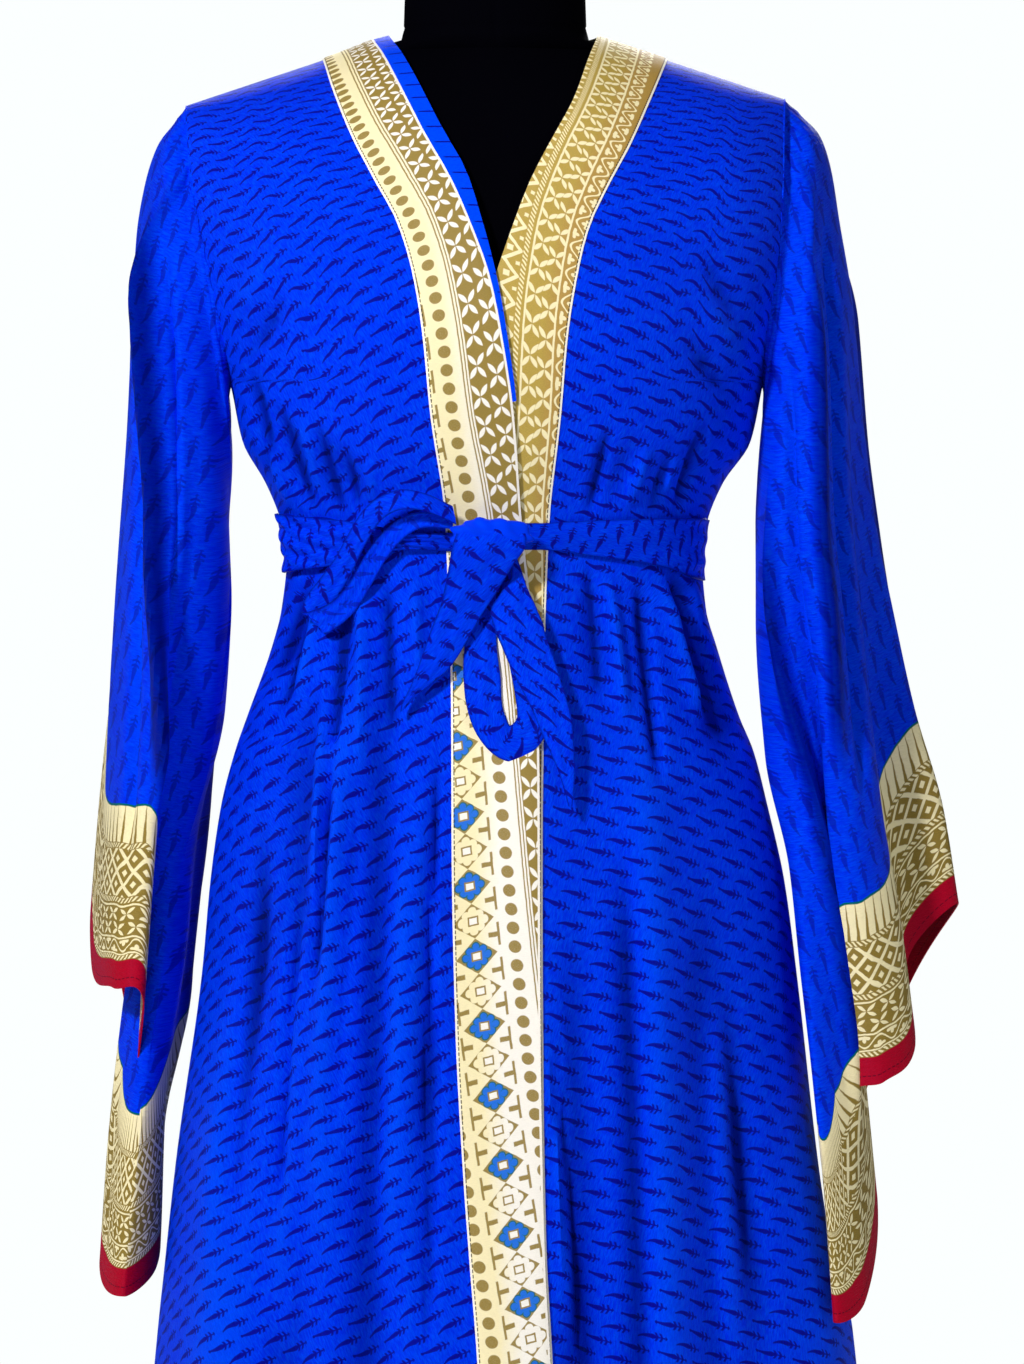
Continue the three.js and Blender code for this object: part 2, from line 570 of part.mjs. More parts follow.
function frontPanel(name) {
  const sign = side(name);
  const rows = sharedRows(name);
  const grid = rows.map((row) => {
    const inner = { x: seamX(name, row.seam), z: row.seam };
    const outer = { x: armholeX(name, row.outer), z: row.outer };
    const from = Math.sign(inner.x) === sign ? angleOf(inner.x, inner.z) : -angleOf(inner.x, inner.z);
    const to = row.sloped ? angleOf(outer.x, outer.z) : Math.PI / 2 - slitTurn(row.outer);
    const spots = [];
    for (let j = 0; j <= FRONT_COLUMNS; j += 1) {
      const u = j / FRONT_COLUMNS;
      const angle = mix(from, to, u);
      let z = mix(inner.z, outer.z, u);
      let x = 0;
      for (let k = 0; k < 6; k += 1) {
        x = Math.sign(angle) * acrossAt(sign, Math.abs(angle), z);
        if (row.sloped) {
          const level = mix(ridge(inner.x) - inner.z, ridge(outer.x) - outer.z, u);
          z = ridge(x) - level;
        }
      }
      if (j === 0) x = inner.x;
      if (j === FRONT_COLUMNS && row.sloped) x = outer.x;
      spots.push(parted(onBody(x, z, 'front', crossLift(name, x)), 'front'));
    }
    return spots;
  });
  return wallFromGrid(grid, WALL);
}

/** Height of the back's top edge: the shoulder line, cut out between the bands for the neck. */
function backTop(x) {
  const inside = Math.max(1 - (x / BAND_SHOULDER_X) ** 2, 0);
  return ridge(BAND_SHOULDER_X) - (BACK_NECK_DEPTH - (ridge(0) - ridge(BAND_SHOULDER_X))) * Math.sqrt(inside);
}

/** The x of a back column on the panel's top edge: round the neck seam, then along the shoulder. */
function backTopX(column, tip) {
  const corner = NECK_ANGLES.length - 1;
  if (column <= corner) return BAND_SHOULDER_X * Math.cos(radians(NECK_ANGLES[column]));
  return mix(BAND_SHOULDER_X, tip, (column - corner) / BACK_SHOULDER_COLUMNS);
}

function backPanel() {
  const halves = { right: sharedRows('right'), left: sharedRows('left') };
  const grid = halves.right.map((_, i) => {
    const spots = [];
    for (let j = -BACK_COLUMNS; j <= BACK_COLUMNS; j += 1) {
      const name = j < 0 ? 'right' : 'left';
      const sign = side(name);
      const row = halves[name][i];
      const u = Math.abs(j) / BACK_COLUMNS;
      if (!row.sloped) {
        const angle = u * (Math.PI / 2 - 0.5 * slitTurn(row.outer));
        spots.push(parted(onBody(acrossAt(sign, angle, row.outer), row.outer, 'back'), 'back'));
        continue;
      }
      const rows = halves[name];
      const tipRow = rows[rows.length - 1];
      const tip = Math.abs(armholeX(name, tipRow.outer));
      const rise = (row.outer - ARMPIT) / (tipRow.outer - ARMPIT);
      const low = Math.sin((u * Math.PI) / 2) ** (2 / BODY_ROUND);
      const topX = backTopX(Math.abs(j), tip);
      const share = mix(low, topX / tip, smooth(rise));
      const x = u === 1 ? armholeX(name, row.outer) : sign * share * Math.abs(armholeX(name, row.outer));
      const top = topX < BAND_SHOULDER_X ? backTop(topX) : ridge(topX);
      const z = u === 1 ? row.outer : mix(ARMPIT, top, rise);
      spots.push(parted(onBody(x, Math.min(z, ridge(x)), 'back'), 'back'));
    }
    return spots;
  });
  return wallFromGrid(grid, WALL);
}

/** Point between two edge points of a band, at part w of the way across it. */
function acrossBand(name, from, to, w, face) {
  const x = mix(from.x, to.x, w);
  const z = mix(from.z, to.z, w);
  return onBody(x, Math.min(z, ridge(x)), face, face === 'front' ? crossLift(name, x) : 0);
}

/** The rows of a band: its seam and free edge up the front, over the shoulder and round the neck. */
function bandRows(name) {
  const sign = side(name);
  const rows = sharedRows(name).map((row) => ({
    face: 'front',
    seam: { x: seamX(name, row.seam), z: row.seam },
    free: { x: freeX(name, row.free), z: row.free },
  }));
  const top = rows[rows.length - 1];
  for (let j = NECK_ANGLES.length - 2; j >= 0; j -= 1) {
    const turn = radians(NECK_ANGLES[j]);
    const x = BAND_SHOULDER_X * Math.cos(turn);
    const freeReach = mix(Math.abs(top.free.x), NECK_POINT.x, Math.sin(turn));
    rows.push({
      face: 'back',
      seam: { x: sign * x, z: backTop(x) },
      free: { x: sign * freeReach * Math.cos(turn), z: mix(top.free.z, NECK_POINT.z - 4, Math.sin(turn)) },
    });
  }
  return rows;
}

function band(name) {
  const sign = side(name);
  const rows = bandRows(name);
  const grid = rows.map((row, i) => {
    const width = Math.hypot(row.free.x - row.seam.x, row.free.z - row.seam.z);
    const spots = [];
    for (let j = 0; j <= BAND_COLUMNS; j += 1) {
      const w = mix(SEAM / width, 1, j / BAND_COLUMNS);
      const spot = acrossBand(name, row.seam, row.free, w, row.face);
      if (row.face === 'front') parted(spot, 'front');
      if (i === rows.length - 1) spot.point.x += sign * (SEAM / 2);
      spots.push(spot);
    }
    return spots;
  });
  return wallFromGrid(grid, WALL);
}

function bandUnderside() {
  const rows = sharedRows('right').filter((row) => row.free >= UNDERSIDE[0].z);
  const grid = rows.map((row) => {
    const edge = { x: freeX('right', row.free), z: row.free };
    const width = along(UNDERSIDE, 'z', 'width', row.free);
    return [SEAM, mix(SEAM, width, 0.5), width].map((w) => {
      const x = edge.x + w;
      const z = Math.min(edge.z + w * 0.3, ridge(x) - 0.3);
      return parted(onBody(x, z, 'front', crossLift('right', edge.x) - 0.08 * w), 'front');
    });
  });
  return wallFromGrid(grid, WALL);
}

// ---------------------------------------------------------------------------------------------
// Sleeves
// ---------------------------------------------------------------------------------------------

/** The armhole as a closed line: from the armpit up the front, over the shoulder and down the back. */
function armhole(name) {
  const rows = sharedRows(name).filter((row) => row.outer >= ARMPIT - 0.01);
  const spots = (face) => rows.map((row) => onBody(armholeX(name, row.outer), row.outer, face));
  const front = spots('front');
  const back = spots('back').reverse();
  return [...front, ...back.slice(1, -1)];
}

/**
 * A sleeve: every column runs from the armhole to the hem. The ring at each drop is an oval between
 * the outer fold and the side of the body, which takes on the hem's folded outline on the way down.
 */
function sleeve(name) {
  const sign = side(name);
  const loop = armhole(name);
  const columns = loop.length * SLEEVE_SPLIT;
  const sections = SLEEVE_SECTIONS[name];
  const hem = SLEEVE_HEM[name];
  const place = (j, drop) => {
    const turn = j / columns;
    const k = Math.floor(j / SLEEVE_SPLIT);
    const part = (j % SLEEVE_SPLIT) / SLEEVE_SPLIT;
    const start = loop[k].point.clone().lerp(loop[(k + 1) % loop.length].point, part);
    const outer = along(sections, 'drop', 'outer', drop);
    const inner = along(sections, 'drop', 'inner', drop);
    const deep = along(sections, 'drop', 'deep', drop);
    const middle = along(sections, 'drop', 'middle', drop);
    const angle = 2 * Math.PI * turn;
    const folded = smooth((drop - SLEEVE_FOLDING.from) / (SLEEVE_FOLDING.to - SLEEVE_FOLDING.from));
    const acrossShare = mix(0.5 + 0.5 * Math.cos(angle), around(hem, 'across', turn), folded);
    const y = mix(middle - deep * Math.sin(angle), around(hem, 'y', turn), folded);
    const hung = new THREE.Vector3(sign * mix(outer, inner, acrossShare), y, 0);
    const point = start.clone().lerp(hung, smooth(drop / SLEEVE_HANG));
    point.z = mix(start.z, around(hem, 'z', turn), drop);
    return point;
  };
  const grid = [];
  for (let i = 0; i <= SLEEVE_RINGS; i += 1) {
    const drop = (i / SLEEVE_RINGS) ** 1.25;
    const ring = [];
    for (let j = 0; j < columns; j += 1) {
      const point = place(j, drop);
      const down = place(j, Math.min(drop + 0.02, 1)).sub(place(j, Math.max(drop - 0.02, 0)));
      const round = place((j + 1) % columns, drop).sub(place((j + columns - 1) % columns, drop));
      if (i === 0) {
        down.set(sign, 0, 0);
        point.x += sign * SEAM;
      }
      ring.push({ point, normal: round.cross(down).multiplyScalar(sign).normalize() });
    }
    grid.push(ring);
  }
  return wallFromGrid(grid, WALL, true);
}

// ---------------------------------------------------------------------------------------------
// The belt
// ---------------------------------------------------------------------------------------------

function tie(name) {
  const sign = side(name);
  const rows = TIES[name].map((row) => ({ ...row, reach: Math.abs(row.x) })).sort((a, b) => a.reach - b.reach);
  const [near, far] = [rows[0].reach, rows[rows.length - 1].reach];
  const grid = [];
  for (let i = 0; i <= TIE_STEPS; i += 1) {
    const angle = mix(angleOf(sign * near, TIE_HEIGHT), Math.PI / 2 - 0.02, i / TIE_STEPS);
    const reach = clamp(Math.abs(acrossAt(sign, angle, TIE_HEIGHT)), near, far);
    const top = along(rows, 'reach', 'top', reach);
    const bottom = along(rows, 'reach', 'bottom', reach);
    grid.push([0, 1, 2, 3].map((j) => {
      const z = mix(bottom, top, j / 3);
      const x = acrossAt(sign, angle, z);
      const dome = TIE_DOME * (1 - ((j - 1.5) / 1.5) ** 2);
      return onBody(x, z, 'front', crossLift(name, x) + TIE_GAP + TIE_WALL + dome);
    }));
  }
  return wallFromGrid(grid, TIE_WALL);
}

/** A loose length of belt: a slightly domed strip swept along its middle line. */
function ribbon(rows) {
  const middle = new THREE.CatmullRomCurve3(
    rows.map((row) => {
      const face = onBody(row.x, row.z, 'front').point.y + Math.min(foldAt(row.x, row.z, 'front'), 0);
      return new THREE.Vector3(row.x, face - row.out, row.z);
    }),
    false,
    'centripetal',
  );
  const numbered = rows.map((row, i) => ({ ...row, i }));
  const steps = (rows.length - 1) * 2;
  const grid = [];
  for (let i = 0; i <= steps; i += 1) {
    const t = i / steps;
    const at = t * (rows.length - 1);
    const lean = radians(along(numbered, 'i', 'lean', at));
    const width = along(numbered, 'i', 'width', at);
    const across = new THREE.Vector3(Math.cos(lean), 0, Math.sin(lean));
    const normal = middle.getTangent(t).cross(across).normalize();
    const centre = middle.getPoint(t);
    grid.push([-1, -0.5, 0, 0.5, 1].map((w) => ({
      point: centre.clone().addScaledVector(across, (w * width) / 2)
        .addScaledVector(normal, TIE_WALL / 2 - 0.05 * width * w * w),
      normal,
    })));
  }
  return wallFromGrid(grid, TIE_WALL);
}

/** The knot: a rounded lump, flattened against the body, with a shallow waist where it is pulled in. */
function knot() {
  const shape = new THREE.SphereGeometry(1, 16, 10);
  const middle = onBody(KNOT.x, KNOT.z, 'front').point.y - KNOT.out + KNOT.half.y;
  const position = shape.getAttribute('position');
  for (let i = 0; i < position.count; i += 1) {
    const [x, y, z] = [position.getX(i), position.getY(i), position.getZ(i)];
    const pinch = 1 - 0.12 * Math.exp(-((x / 0.35) ** 2));
    position.setXYZ(i, KNOT.x + KNOT.half.x * x, middle + KNOT.half.y * z * pinch, KNOT.z - KNOT.half.z * y * pinch);
  }
  return shape;
}

// ---------------------------------------------------------------------------------------------
// The dress form and its stand
// ---------------------------------------------------------------------------------------------

/** The form's torso with its neck, as level rings inside the robe. */
function torso() {
  const ring = (z, spot) => {
    const points = [];
    for (let j = 0; j < FORM_COLUMNS; j += 1) {
      points.push(spot(((j + 0.5) * 2 * Math.PI) / FORM_COLUMNS, z));
    }
    return points;
  };
  const onForm = (angle, z) => {
    const drop = Math.max(ridge(0) - z, 0);
    const open = smooth((drop - EASE_DROP.from) / (EASE_DROP.to - EASE_DROP.from));
    const inset = WALL + FORM_GAP + FORM_EASE * open;
    const reach = NECK_POINT.x + (NECK_POINT.z - inset - z) / SHOULDER_SLOPE;
    const half = Math.min(along(FORM, 'z', 'half', z), reach);
    const [across, deep] = [Math.sin(angle), -Math.cos(angle)];
    const x = half * Math.sign(across) * Math.abs(across) ** (2 / BODY_ROUND);
    const b = along(BODY, 'z', deep < 0 ? 'front' : 'back', z) - inset;
    const m = clamp(1 - (ridge(x) - inset - z) / SHOULDER_ROLL, 0, 1);
    const y = b * Math.sign(deep) * Math.abs(deep) ** (2 / BODY_ROUND) * Math.sqrt(1 - m * m);
    return new THREE.Vector3(x, y, z);
  };
  const onNeck = (grow) => (angle, z) => new THREE.Vector3(
    (NECK.width + grow) * Math.sin(angle),
    -(NECK.depth + grow) * Math.cos(angle),
    z,
  );
  return stackOfRings([
    ...FORM_HEIGHTS.map((z) => ring(z, onForm)),
    ...NECK_RINGS.map(({ z, grow }) => ring(z, onNeck(grow))),
  ]);
}

/** A turned piece: a profile of [radius, height] pairs round the Z axis, starting and ending on it. */
function turned(profile, segments) {
  const shape = new THREE.LatheGeometry(profile.map(([r, z]) => new THREE.Vector2(r, z)), segments);
  shape.rotateX(Math.PI / 2);
  return shape;
}

// ---------------------------------------------------------------------------------------------
// Assembly
// ---------------------------------------------------------------------------------------------

const PAINTS = {
  blue: { color: 0x0b2fd8, roughness: 0.45, metalness: 0 },
  olive: { color: 0xcdbf7a, roughness: 0.5, metalness: 0 },
  gold: { color: 0xd6b964, roughness: 0.5, metalness: 0 },
  black: { color: 0x0c0c0e, roughness: 0.9, metalness: 0 },
  cap: { color: 0x15151a, roughness: 0.5, metalness: 0 },
  steel: { color: 0x1a1a1d, roughness: 0.35, metalness: 0.6 },
};

const part = new THREE.Group();

function add(name, geometry, paint) {
  const mesh = new THREE.Mesh(geometry, new THREE.MeshStandardMaterial({ ...PAINTS[paint] }));
  mesh.name = name;
  part.add(mesh);
  return mesh;
}

add('form_torso', torso(), 'black');
const capProfile = [[0, 0], [CAP.radius, 0], [CAP.radius, CAP.height * 0.6], [CAP.radius * 0.9, CAP.height],
  [0, CAP.height]];
const poleLength = FORM_BOTTOM - BASE.height - 2 * STAND_SEAT;
const poleProfile = [[0, 0], [POLE_RADIUS, 0], [POLE_RADIUS, poleLength], [0, poleLength]];
const baseProfile = [[0, 0], [BASE.radius, 0], [BASE.radius, BASE.height - BASE.edge],
  [BASE.radius - BASE.edge, BASE.height], [0, BASE.height]];
add('form_neck_cap', turned(capProfile, 32), 'cap').position.z = NECK.top + STAND_SEAT;
add('stand_pole', turned(poleProfile, 24), 'steel').position.z = BASE.height + STAND_SEAT;
add('stand_base', turned(baseProfile, 48), 'steel');

add('robe_back', backPanel(), 'blue');
for (const name of ['right', 'left']) {
  add(`robe_front_${name}`, frontPanel(name), 'blue');
  add(`band_${name}`, band(name), name === 'right' ? 'olive' : 'gold');
  add(`sleeve_${name}`, sleeve(name), 'blue');
  add(`tie_${name}`, tie(name), 'blue');
}
add('band_right_underside', bandUnderside(), 'blue');
add('bow_knot', knot(), 'blue');
for (const [name, rows] of Object.entries(RIBBONS)) add(name, ribbon(rows), 'blue');

export default part;
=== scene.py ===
"""A long wrap robe with printed front bands and wide bell sleeves, on a limbless dress form.

The frame is loaded first. Shapes are worked out in millimetres, from the same values as the frame's
solids, and are written in metres. +Z is up, the robe's front faces -Y and +X is the wearer's left.
"""
import math

import bpy
import numpy as np
from bpy.props import FloatProperty, FloatVectorProperty, PointerProperty
from bpy.types import Operator, Panel, PropertyGroup
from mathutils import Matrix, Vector


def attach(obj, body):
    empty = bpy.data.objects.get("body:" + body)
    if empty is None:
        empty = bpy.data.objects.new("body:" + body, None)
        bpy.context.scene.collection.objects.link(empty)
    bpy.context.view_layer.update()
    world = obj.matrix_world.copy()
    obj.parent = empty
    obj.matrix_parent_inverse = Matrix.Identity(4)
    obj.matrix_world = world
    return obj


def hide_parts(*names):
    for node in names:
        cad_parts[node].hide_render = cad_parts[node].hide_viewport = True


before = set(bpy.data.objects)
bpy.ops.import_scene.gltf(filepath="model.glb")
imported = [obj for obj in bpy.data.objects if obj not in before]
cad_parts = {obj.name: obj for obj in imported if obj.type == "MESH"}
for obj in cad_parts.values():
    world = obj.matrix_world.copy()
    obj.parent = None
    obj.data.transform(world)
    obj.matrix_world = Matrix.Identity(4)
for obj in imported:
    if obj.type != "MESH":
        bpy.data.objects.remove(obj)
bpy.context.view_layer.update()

bl_info = {
    "name": "Kimono robe on a dress form",
    "version": (1, 0, 0),
    "blender": (4, 5, 0),
    "location": "View3D > Sidebar > Robe",
    "description": "Builds a printed wrap robe, its belt and the dress form that it hangs on",
    "category": "Add Mesh",
}

MM = 0.001


# ---- Tables of sizes, in millimetres ----

def columns(names, rows):
    """A table as named arrays, from text with a comma after each row."""
    return dict(zip(names.split(), np.array([row.split() for row in rows.split(",")], float).T))


HEM = 88.0
SLIT_TOP = 545.0
SLIT_SPREAD = math.radians(9)
ARMPIT = 1165.0
NECK_X, NECK_Z = 67.0, 1391.0
SHOULDER_SLOPE = 0.333
SHOULDER_ROLL = 70.0
BODY_ROUND = 2.3
BACK_NECK_DEPTH = 74.0
BAND_SHOULDER_X = 112.0
BELT_Z = 1078.0
# How far creases may sink in above and below the form's hips, and where they get deeper.
SINK_HIGH, SINK_LOW = -5.5, -22.0
SINK_FROM = {"front": 880, "back": 770}
CREASE_GAIN, RIPPLE_GAIN = 2.3, 1.7
BODY_SEEDS, SLEEVE_SEEDS = {"front": 5, "back": 9}, {"right": 3, "left": 7}
SLEEVE_LENGTH, SLEEVE_FOLD_GAIN = 560.0, 1.35
FORM_GAP = 2.5
NECK_WIDE, NECK_DEEP = 59, 56
BORDER, RED_HEM = 117.0, 18.0

# Half widths and depths of the robe's outer face.
BODY = columns("z right left front back", """
    88 262 276 176 186, 300 241 254 161 169, 534 220.5 229 146 152, 660 207.5 210 134 141,
    783 190.5 196 123 131, 843 185 188 118 127, 892 178 177 114 123, 927 169 168 111 119,
    950 161 158.5 108 114, 995 145 144 101 101, 1020 138.7 137 97 92, 1048 136 135 95 87,
    1069 140 138.7 98 88, 1101 150 149 106 93, 1128 164 166 115 98, 1165 172 174 124 104,
    1195 182 181 127 107, 1242 199 194 121 107, 1290 213 201 106 103, 1335 217 203 88 93,
    1391 219 206 68 84, 1440 219 206 60 80""")
ARMHOLE = columns("z inside", """
    1165 0, 1195 0.03, 1242 0.06, 1290 0.08, 1400 0.08""")
FORM = columns("z half", """
    800 168, 880 166, 927 158, 995 135, 1048 126, 1101 136, 1165 158, 1242 172, 1300 178, 1350 184,
    1440 184""")
BANDS = {
    "right": columns("z seam free", """
        88 4 50, 300 -3 43, 533 -11 35.5, 599 -16 32, 654 -20 30.5, 748 -25 29, 860 -27.5 28.5,
        960 -28 27.5, 1077 -32 17, 1144 -41 12, 1195 -46 4.5, 1232 -52 -3, 1266 -62 -15, 1296 -78 -28,
        1325 -93 -44.5, 1355 -105 -60, 1376 -112 -71, 1388 -117 -78.5, 1400 -121 -82"""),
    "left": columns("z seam free", """
        88 52 8, 300 46 2, 537 37 -6, 613 33 -11, 729 31 -17, 860 30.5 -20, 999 32 -20, 1077 35.5 -22,
        1144 42.6 -20, 1195 47 -12, 1238 54 2, 1264 60.6 11, 1293 74 22, 1317 87 34, 1349 101 51,
        1376 112 60.5, 1392 118 66.5, 1400 121 68"""),
}
UNDERSIDE = columns("z width", """
    1150 2.5, 1232 4, 1266 7, 1310 11, 1355 11, 1400 9""")

# The body's folds: from (x, z) down to (x, z), how far out, half width and fade at the ends.
FOLD_NAMES = "from_x from_z to_x to_z out wide soft"
FOLDS = {
    "front": columns(FOLD_NAMES, """
        -92 1070 -140 1150 -3 11 30, -78 1080 -116 1140 -3 9 30, -95 1015 -112 560 8 17 120,
        -72 1010 -88 420 -6 12 110, -118 1000 -150 300 -5 14 110, -42 940 -50 120 5 12 120,
        -160 820 -196 100 9 19 160, 73 1080 90 1140 -3 9 30, 60 1045 70 940 -4 9 50,
        112 1045 160 900 -6 12 60, 92 1010 116 300 6 17 140, 132 880 176 100 -6 16 140,
        50 860 66 100 -5 11 140, 200 780 236 100 6 18 160"""),
    "back": columns(FOLD_NAMES, """
        -8 1030 -22 100 -7 16 160, 44 1040 62 100 8 20 170, -52 1040 -84 100 9 21 180,
        88 1020 130 100 -7 18 150, -96 1020 -146 100 -7 18 150, 128 960 196 100 8 22 180,
        -130 960 -200 100 7 20 180, 24 1072 52 1160 -3 12 36, -28 1072 -60 1160 -3 12 36"""),
}
# Finer creases, on the visible cloth only.
CREASES = {
    "front": columns(FOLD_NAMES, """
        -119 1078 -142 1156 -4.5 3.8 30, -100 1078 -116 1142 -4.5 3.6 26, -109 1080 -127 1150 3.2 5 30,
        -131 1080 -152 1136 3 5 26, -88 1078 -97 1126 -3.4 3.2 22, -76 1078 -82 1120 2.4 4 22,
        -140 1090 -160 1180 -3 5 30, -120 1040 -144 968 -4 6 26, -108 1042 -128 950 3.2 5.5 30,
        -96 1044 -106 930 -4.5 5 34, -84 1046 -84 900 3.4 5 40, -70 1046 -66 930 -3.4 4.5 34,
        -52 1046 -46 960 2.4 4.5 30, -95 1040 -104 925 -5 3.4 16, -103 938 -117 760 -4.5 3.8 50,
        -105 990 -120 820 3 5 60, -88 935 -106 640 -3 7 80, -36 940 -48 640 -4 3.8 70,
        -127 850 -140 600 -4.2 4 70, -120 1020 -140 950 -4.5 3.6 20, -56 900 -70 560 3.6 9 90,
        -38 800 -46 500 -4 6 90, -127 860 -140 520 5 9 110, -148 900 -170 560 -4 8 110,
        61 1076 74 1140 -4.2 3.4 26, 84 1078 98 1128 3 4.5 24, 100 1078 112 1124 -3.2 3.2 24,
        117 1080 136 1142 -4.5 3.8 26, 103 1084 116 1118 2.2 4 20, 158 1150 120 1196 -3.2 7 26,
        164 1172 128 1226 2.8 7 28, 160 1198 132 1250 -2.2 6 24, -162 1176 -132 1226 -2.6 7 28,
        -170 1200 -140 1256 2.2 7 26, 60 1050 68 960 -4.6 3.4 26, 72 1046 84 940 3.6 5 36,
        92 1044 106 900 -4.4 4 40, 112 1050 150 930 -5 4.2 30, 103 1044 136 940 4 5.5 30,
        124 1044 162 950 3.6 6 26, 33 790 62 500 -4.2 4 70, 150 790 176 520 -3 7 120,
        140 800 158 480 4 9 110, 34 800 50 540 4 6 80, 82 900 98 420 -4 9 120, 72 420 84 100 5 13 140,
        -74 440 -86 100 6 14 140, -128 400 -150 100 -6 13 140"""),
    "back": columns(FOLD_NAMES, """
        -30 1046 -34 900 3.4 5.5 40, -14 1044 -12 920 -3 5 40, 12 1046 14 880 3.6 5.5 50,
        30 1044 36 930 -3.2 5 36, 60 1044 74 900 3.4 6 46, -64 1044 -80 880 -3.6 6 50,
        96 1042 118 930 -3.6 6 40, -100 1042 -120 930 3.6 6 40, 10 1092 18 1150 2.4 5 26,
        -44 1090 -66 1140 2.4 5 26, 70 1090 92 1140 -2.4 6 26, -104 1096 -132 1150 -2.4 7 26,
        104 1090 134 1150 2.2 7 26, -22 700 -30 100 5 14 160, 98 640 112 100 5 16 160,
        -116 660 -130 100 5 16 160, 150 1180 110 1240 -2.6 9 30, -150 1180 -108 1238 -2.6 9 30,
        0 1310 0 1250 1.6 30 26"""),
}

SECTION_NAMES = "drop outer inner deep middle"
SLEEVE_SECTIONS = {
    "right": columns(SECTION_NAMES, """
        0 201 173 48 2, 0.05 219 173.5 49 2, 0.09 226 171 50 3, 0.15 232 173 53 4, 0.25 236 171 57 6,
        0.4 240 176 62 9, 0.52 244 191 66 11, 0.64 248 200 70 12, 0.76 252 210 73 12, 0.88 257 217 76 12,
        1 262 222 78 12"""),
    "left": columns(SECTION_NAMES, """
        0 190 175 48 2, 0.05 211 176 49 2, 0.09 217 173 50 1, 0.15 222 170 53 0, 0.25 231 170 57 -2,
        0.4 239 177 62 -4, 0.52 247 194 66 -6, 0.64 259 203 70 -8, 0.76 272 212 73 -8, 0.88 290 220 76 -8,
        1 301 226 78 -8"""),
}
# The sleeve hems, from the underarm seam by the front to the outer fold and round the back.
SLEEVE_HEM = {
    "right": columns("turn across y z", """
        0 0.55 -34 574, 0.1 0.12 -6 592, 0.18 0.5 2 668, 0.27 0.84 -48 764, 0.38 0.4 -42 774, 0.5 0 2 784,
        0.59 0.08 44 846, 0.72 0.52 88 752, 0.85 0.98 52 650, 0.94 1 -8 592"""),
    "left": columns("turn across y z", """
        0 1.1 -84 560, 0.07 0.84 -70 572, 0.16 0.72 -36 640, 0.25 0.93 -56 704, 0.33 0.66 -62 714,
        0.4 0.4 -44 734, 0.45 0.46 -12 790, 0.53 0 8 828, 0.68 0.42 72 770, 0.84 0.94 44 660,
        0.94 0.93 -36 586"""),
}
# Sleeve folds: turn and drop at each end, how far out, half width and fade, both in mm.
SLEEVE_FOLD_NAMES = "from_turn from_drop to_turn to_drop out wide soft"
SLEEVE_FOLDS = {
    "right": columns(SLEEVE_FOLD_NAMES, """
        0.37 0.08 0.28 0.8 -13 9 70, 0.31 0.1 0.2 0.85 7 10 80, 0.43 0.12 0.36 0.9 5 12 80,
        0.62 0.1 0.66 0.9 -10 12 90, 0.74 0.14 0.78 0.95 9 14 90, 0.86 0.2 0.9 0.9 -7 10 90,
        0.3 0.02 0.36 0.14 -2.5 6 20, 0.56 0.02 0.6 0.16 -2.5 7 20"""),
    "left": columns(SLEEVE_FOLD_NAMES, """
        0.3 0.1 0.3 0.7 -8 10 70, 0.38 0.08 0.36 0.75 6 10 80, 0.2 0.14 0.17 0.85 7 11 90,
        0.12 0.2 0.1 0.9 -8 9 90, 0.6 0.1 0.62 0.9 -9 12 90, 0.72 0.14 0.76 0.95 9 14 90,
        0.85 0.2 0.88 0.9 -7 10 90, 0.34 0.02 0.3 0.14 -2.5 6 20, 0.58 0.02 0.62 0.16 -2.5 7 20"""),
}
TIES = {
    "right": columns("reach top bottom", """
        33 1068 1056, 52 1068 1057, 74 1071 1055, 94 1076 1049, 112 1078 1046, 128 1080 1044,
        135.5 1081 1043"""),
    "left": columns("reach top bottom", """
        31 1074 1057, 44 1075 1056, 64 1076 1053, 88 1077 1050, 108 1077.5 1046, 126 1077.5 1040,
        134.5 1077 1038"""),
}
# Loose lengths of the bow: middle line, distance before the body, width and its lean in degrees.
RIBBON_NAMES = "x z out width lean"
RIBBONS = {
    "bow_loop_side": columns(RIBBON_NAMES, """
        -26 1079 15 12 -80, -44 1087 19 12 -84, -61 1089 20 13 -86, -77 1081 21 13 -56, -88 1065 21 13 -32,
        -97 1048 20 14 -30, -107 1032 19 17 -34, -115 1018 17 20 -38, -116 1011 14 20 -40,
        -109 1013 11.5 18 -40, -97 1021 11 15 -36, -86 1036 12 13 -32, -75 1055 12 13 -36,
        -61 1070 11 12 -54, -47 1076 10 10 -78, -27 1074 9.5 8 -88"""),
    "bow_loop_low": columns(RIBBON_NAMES, """
        2 1062 4.8 12 0, -4 1036 6 17 -4, -9 1000 8 20 -2, -8 972 8 24 8, -4 948 8 23 38, 9 932.5 8 23 88,
        22 941 9 22 136, 24 961 10 22 172, 17 992 10 19 184, 11 1024 7 13 188, 6 1056 4.8 8 184"""),
    "bow_tail_broad": columns(RIBBON_NAMES, """
        -1 1074 15 38 -4, -2 1068 23 44 -4, -4 1058 27 47 0, -9 1045 25 42 5, -17 1025 19 36 11,
        -25 1010 16 33 15, -33 992 14 31 20, -43 973 12.5 27 26, -53 962 12 17 34, -59 954 11.5 4 40"""),
    "bow_tail_long": columns(RIBBON_NAMES, """
        12 1052 10 5 -20, 15 1038 14 10 -24, 15 1024 16 25 -20, 14.5 1011 16.5 36 -16, 21 992 16 35 -14,
        28 973 15.5 32 -14, 36 953 15 27 -14, 41 934 14 20 -12, 46 914 12 11 -10, 48.5 892 11 2.5 -6"""),
}
NECK_ANGLES = np.radians([90, 68, 48, 31, 18, 8, 0])


# ---- Numbers ----

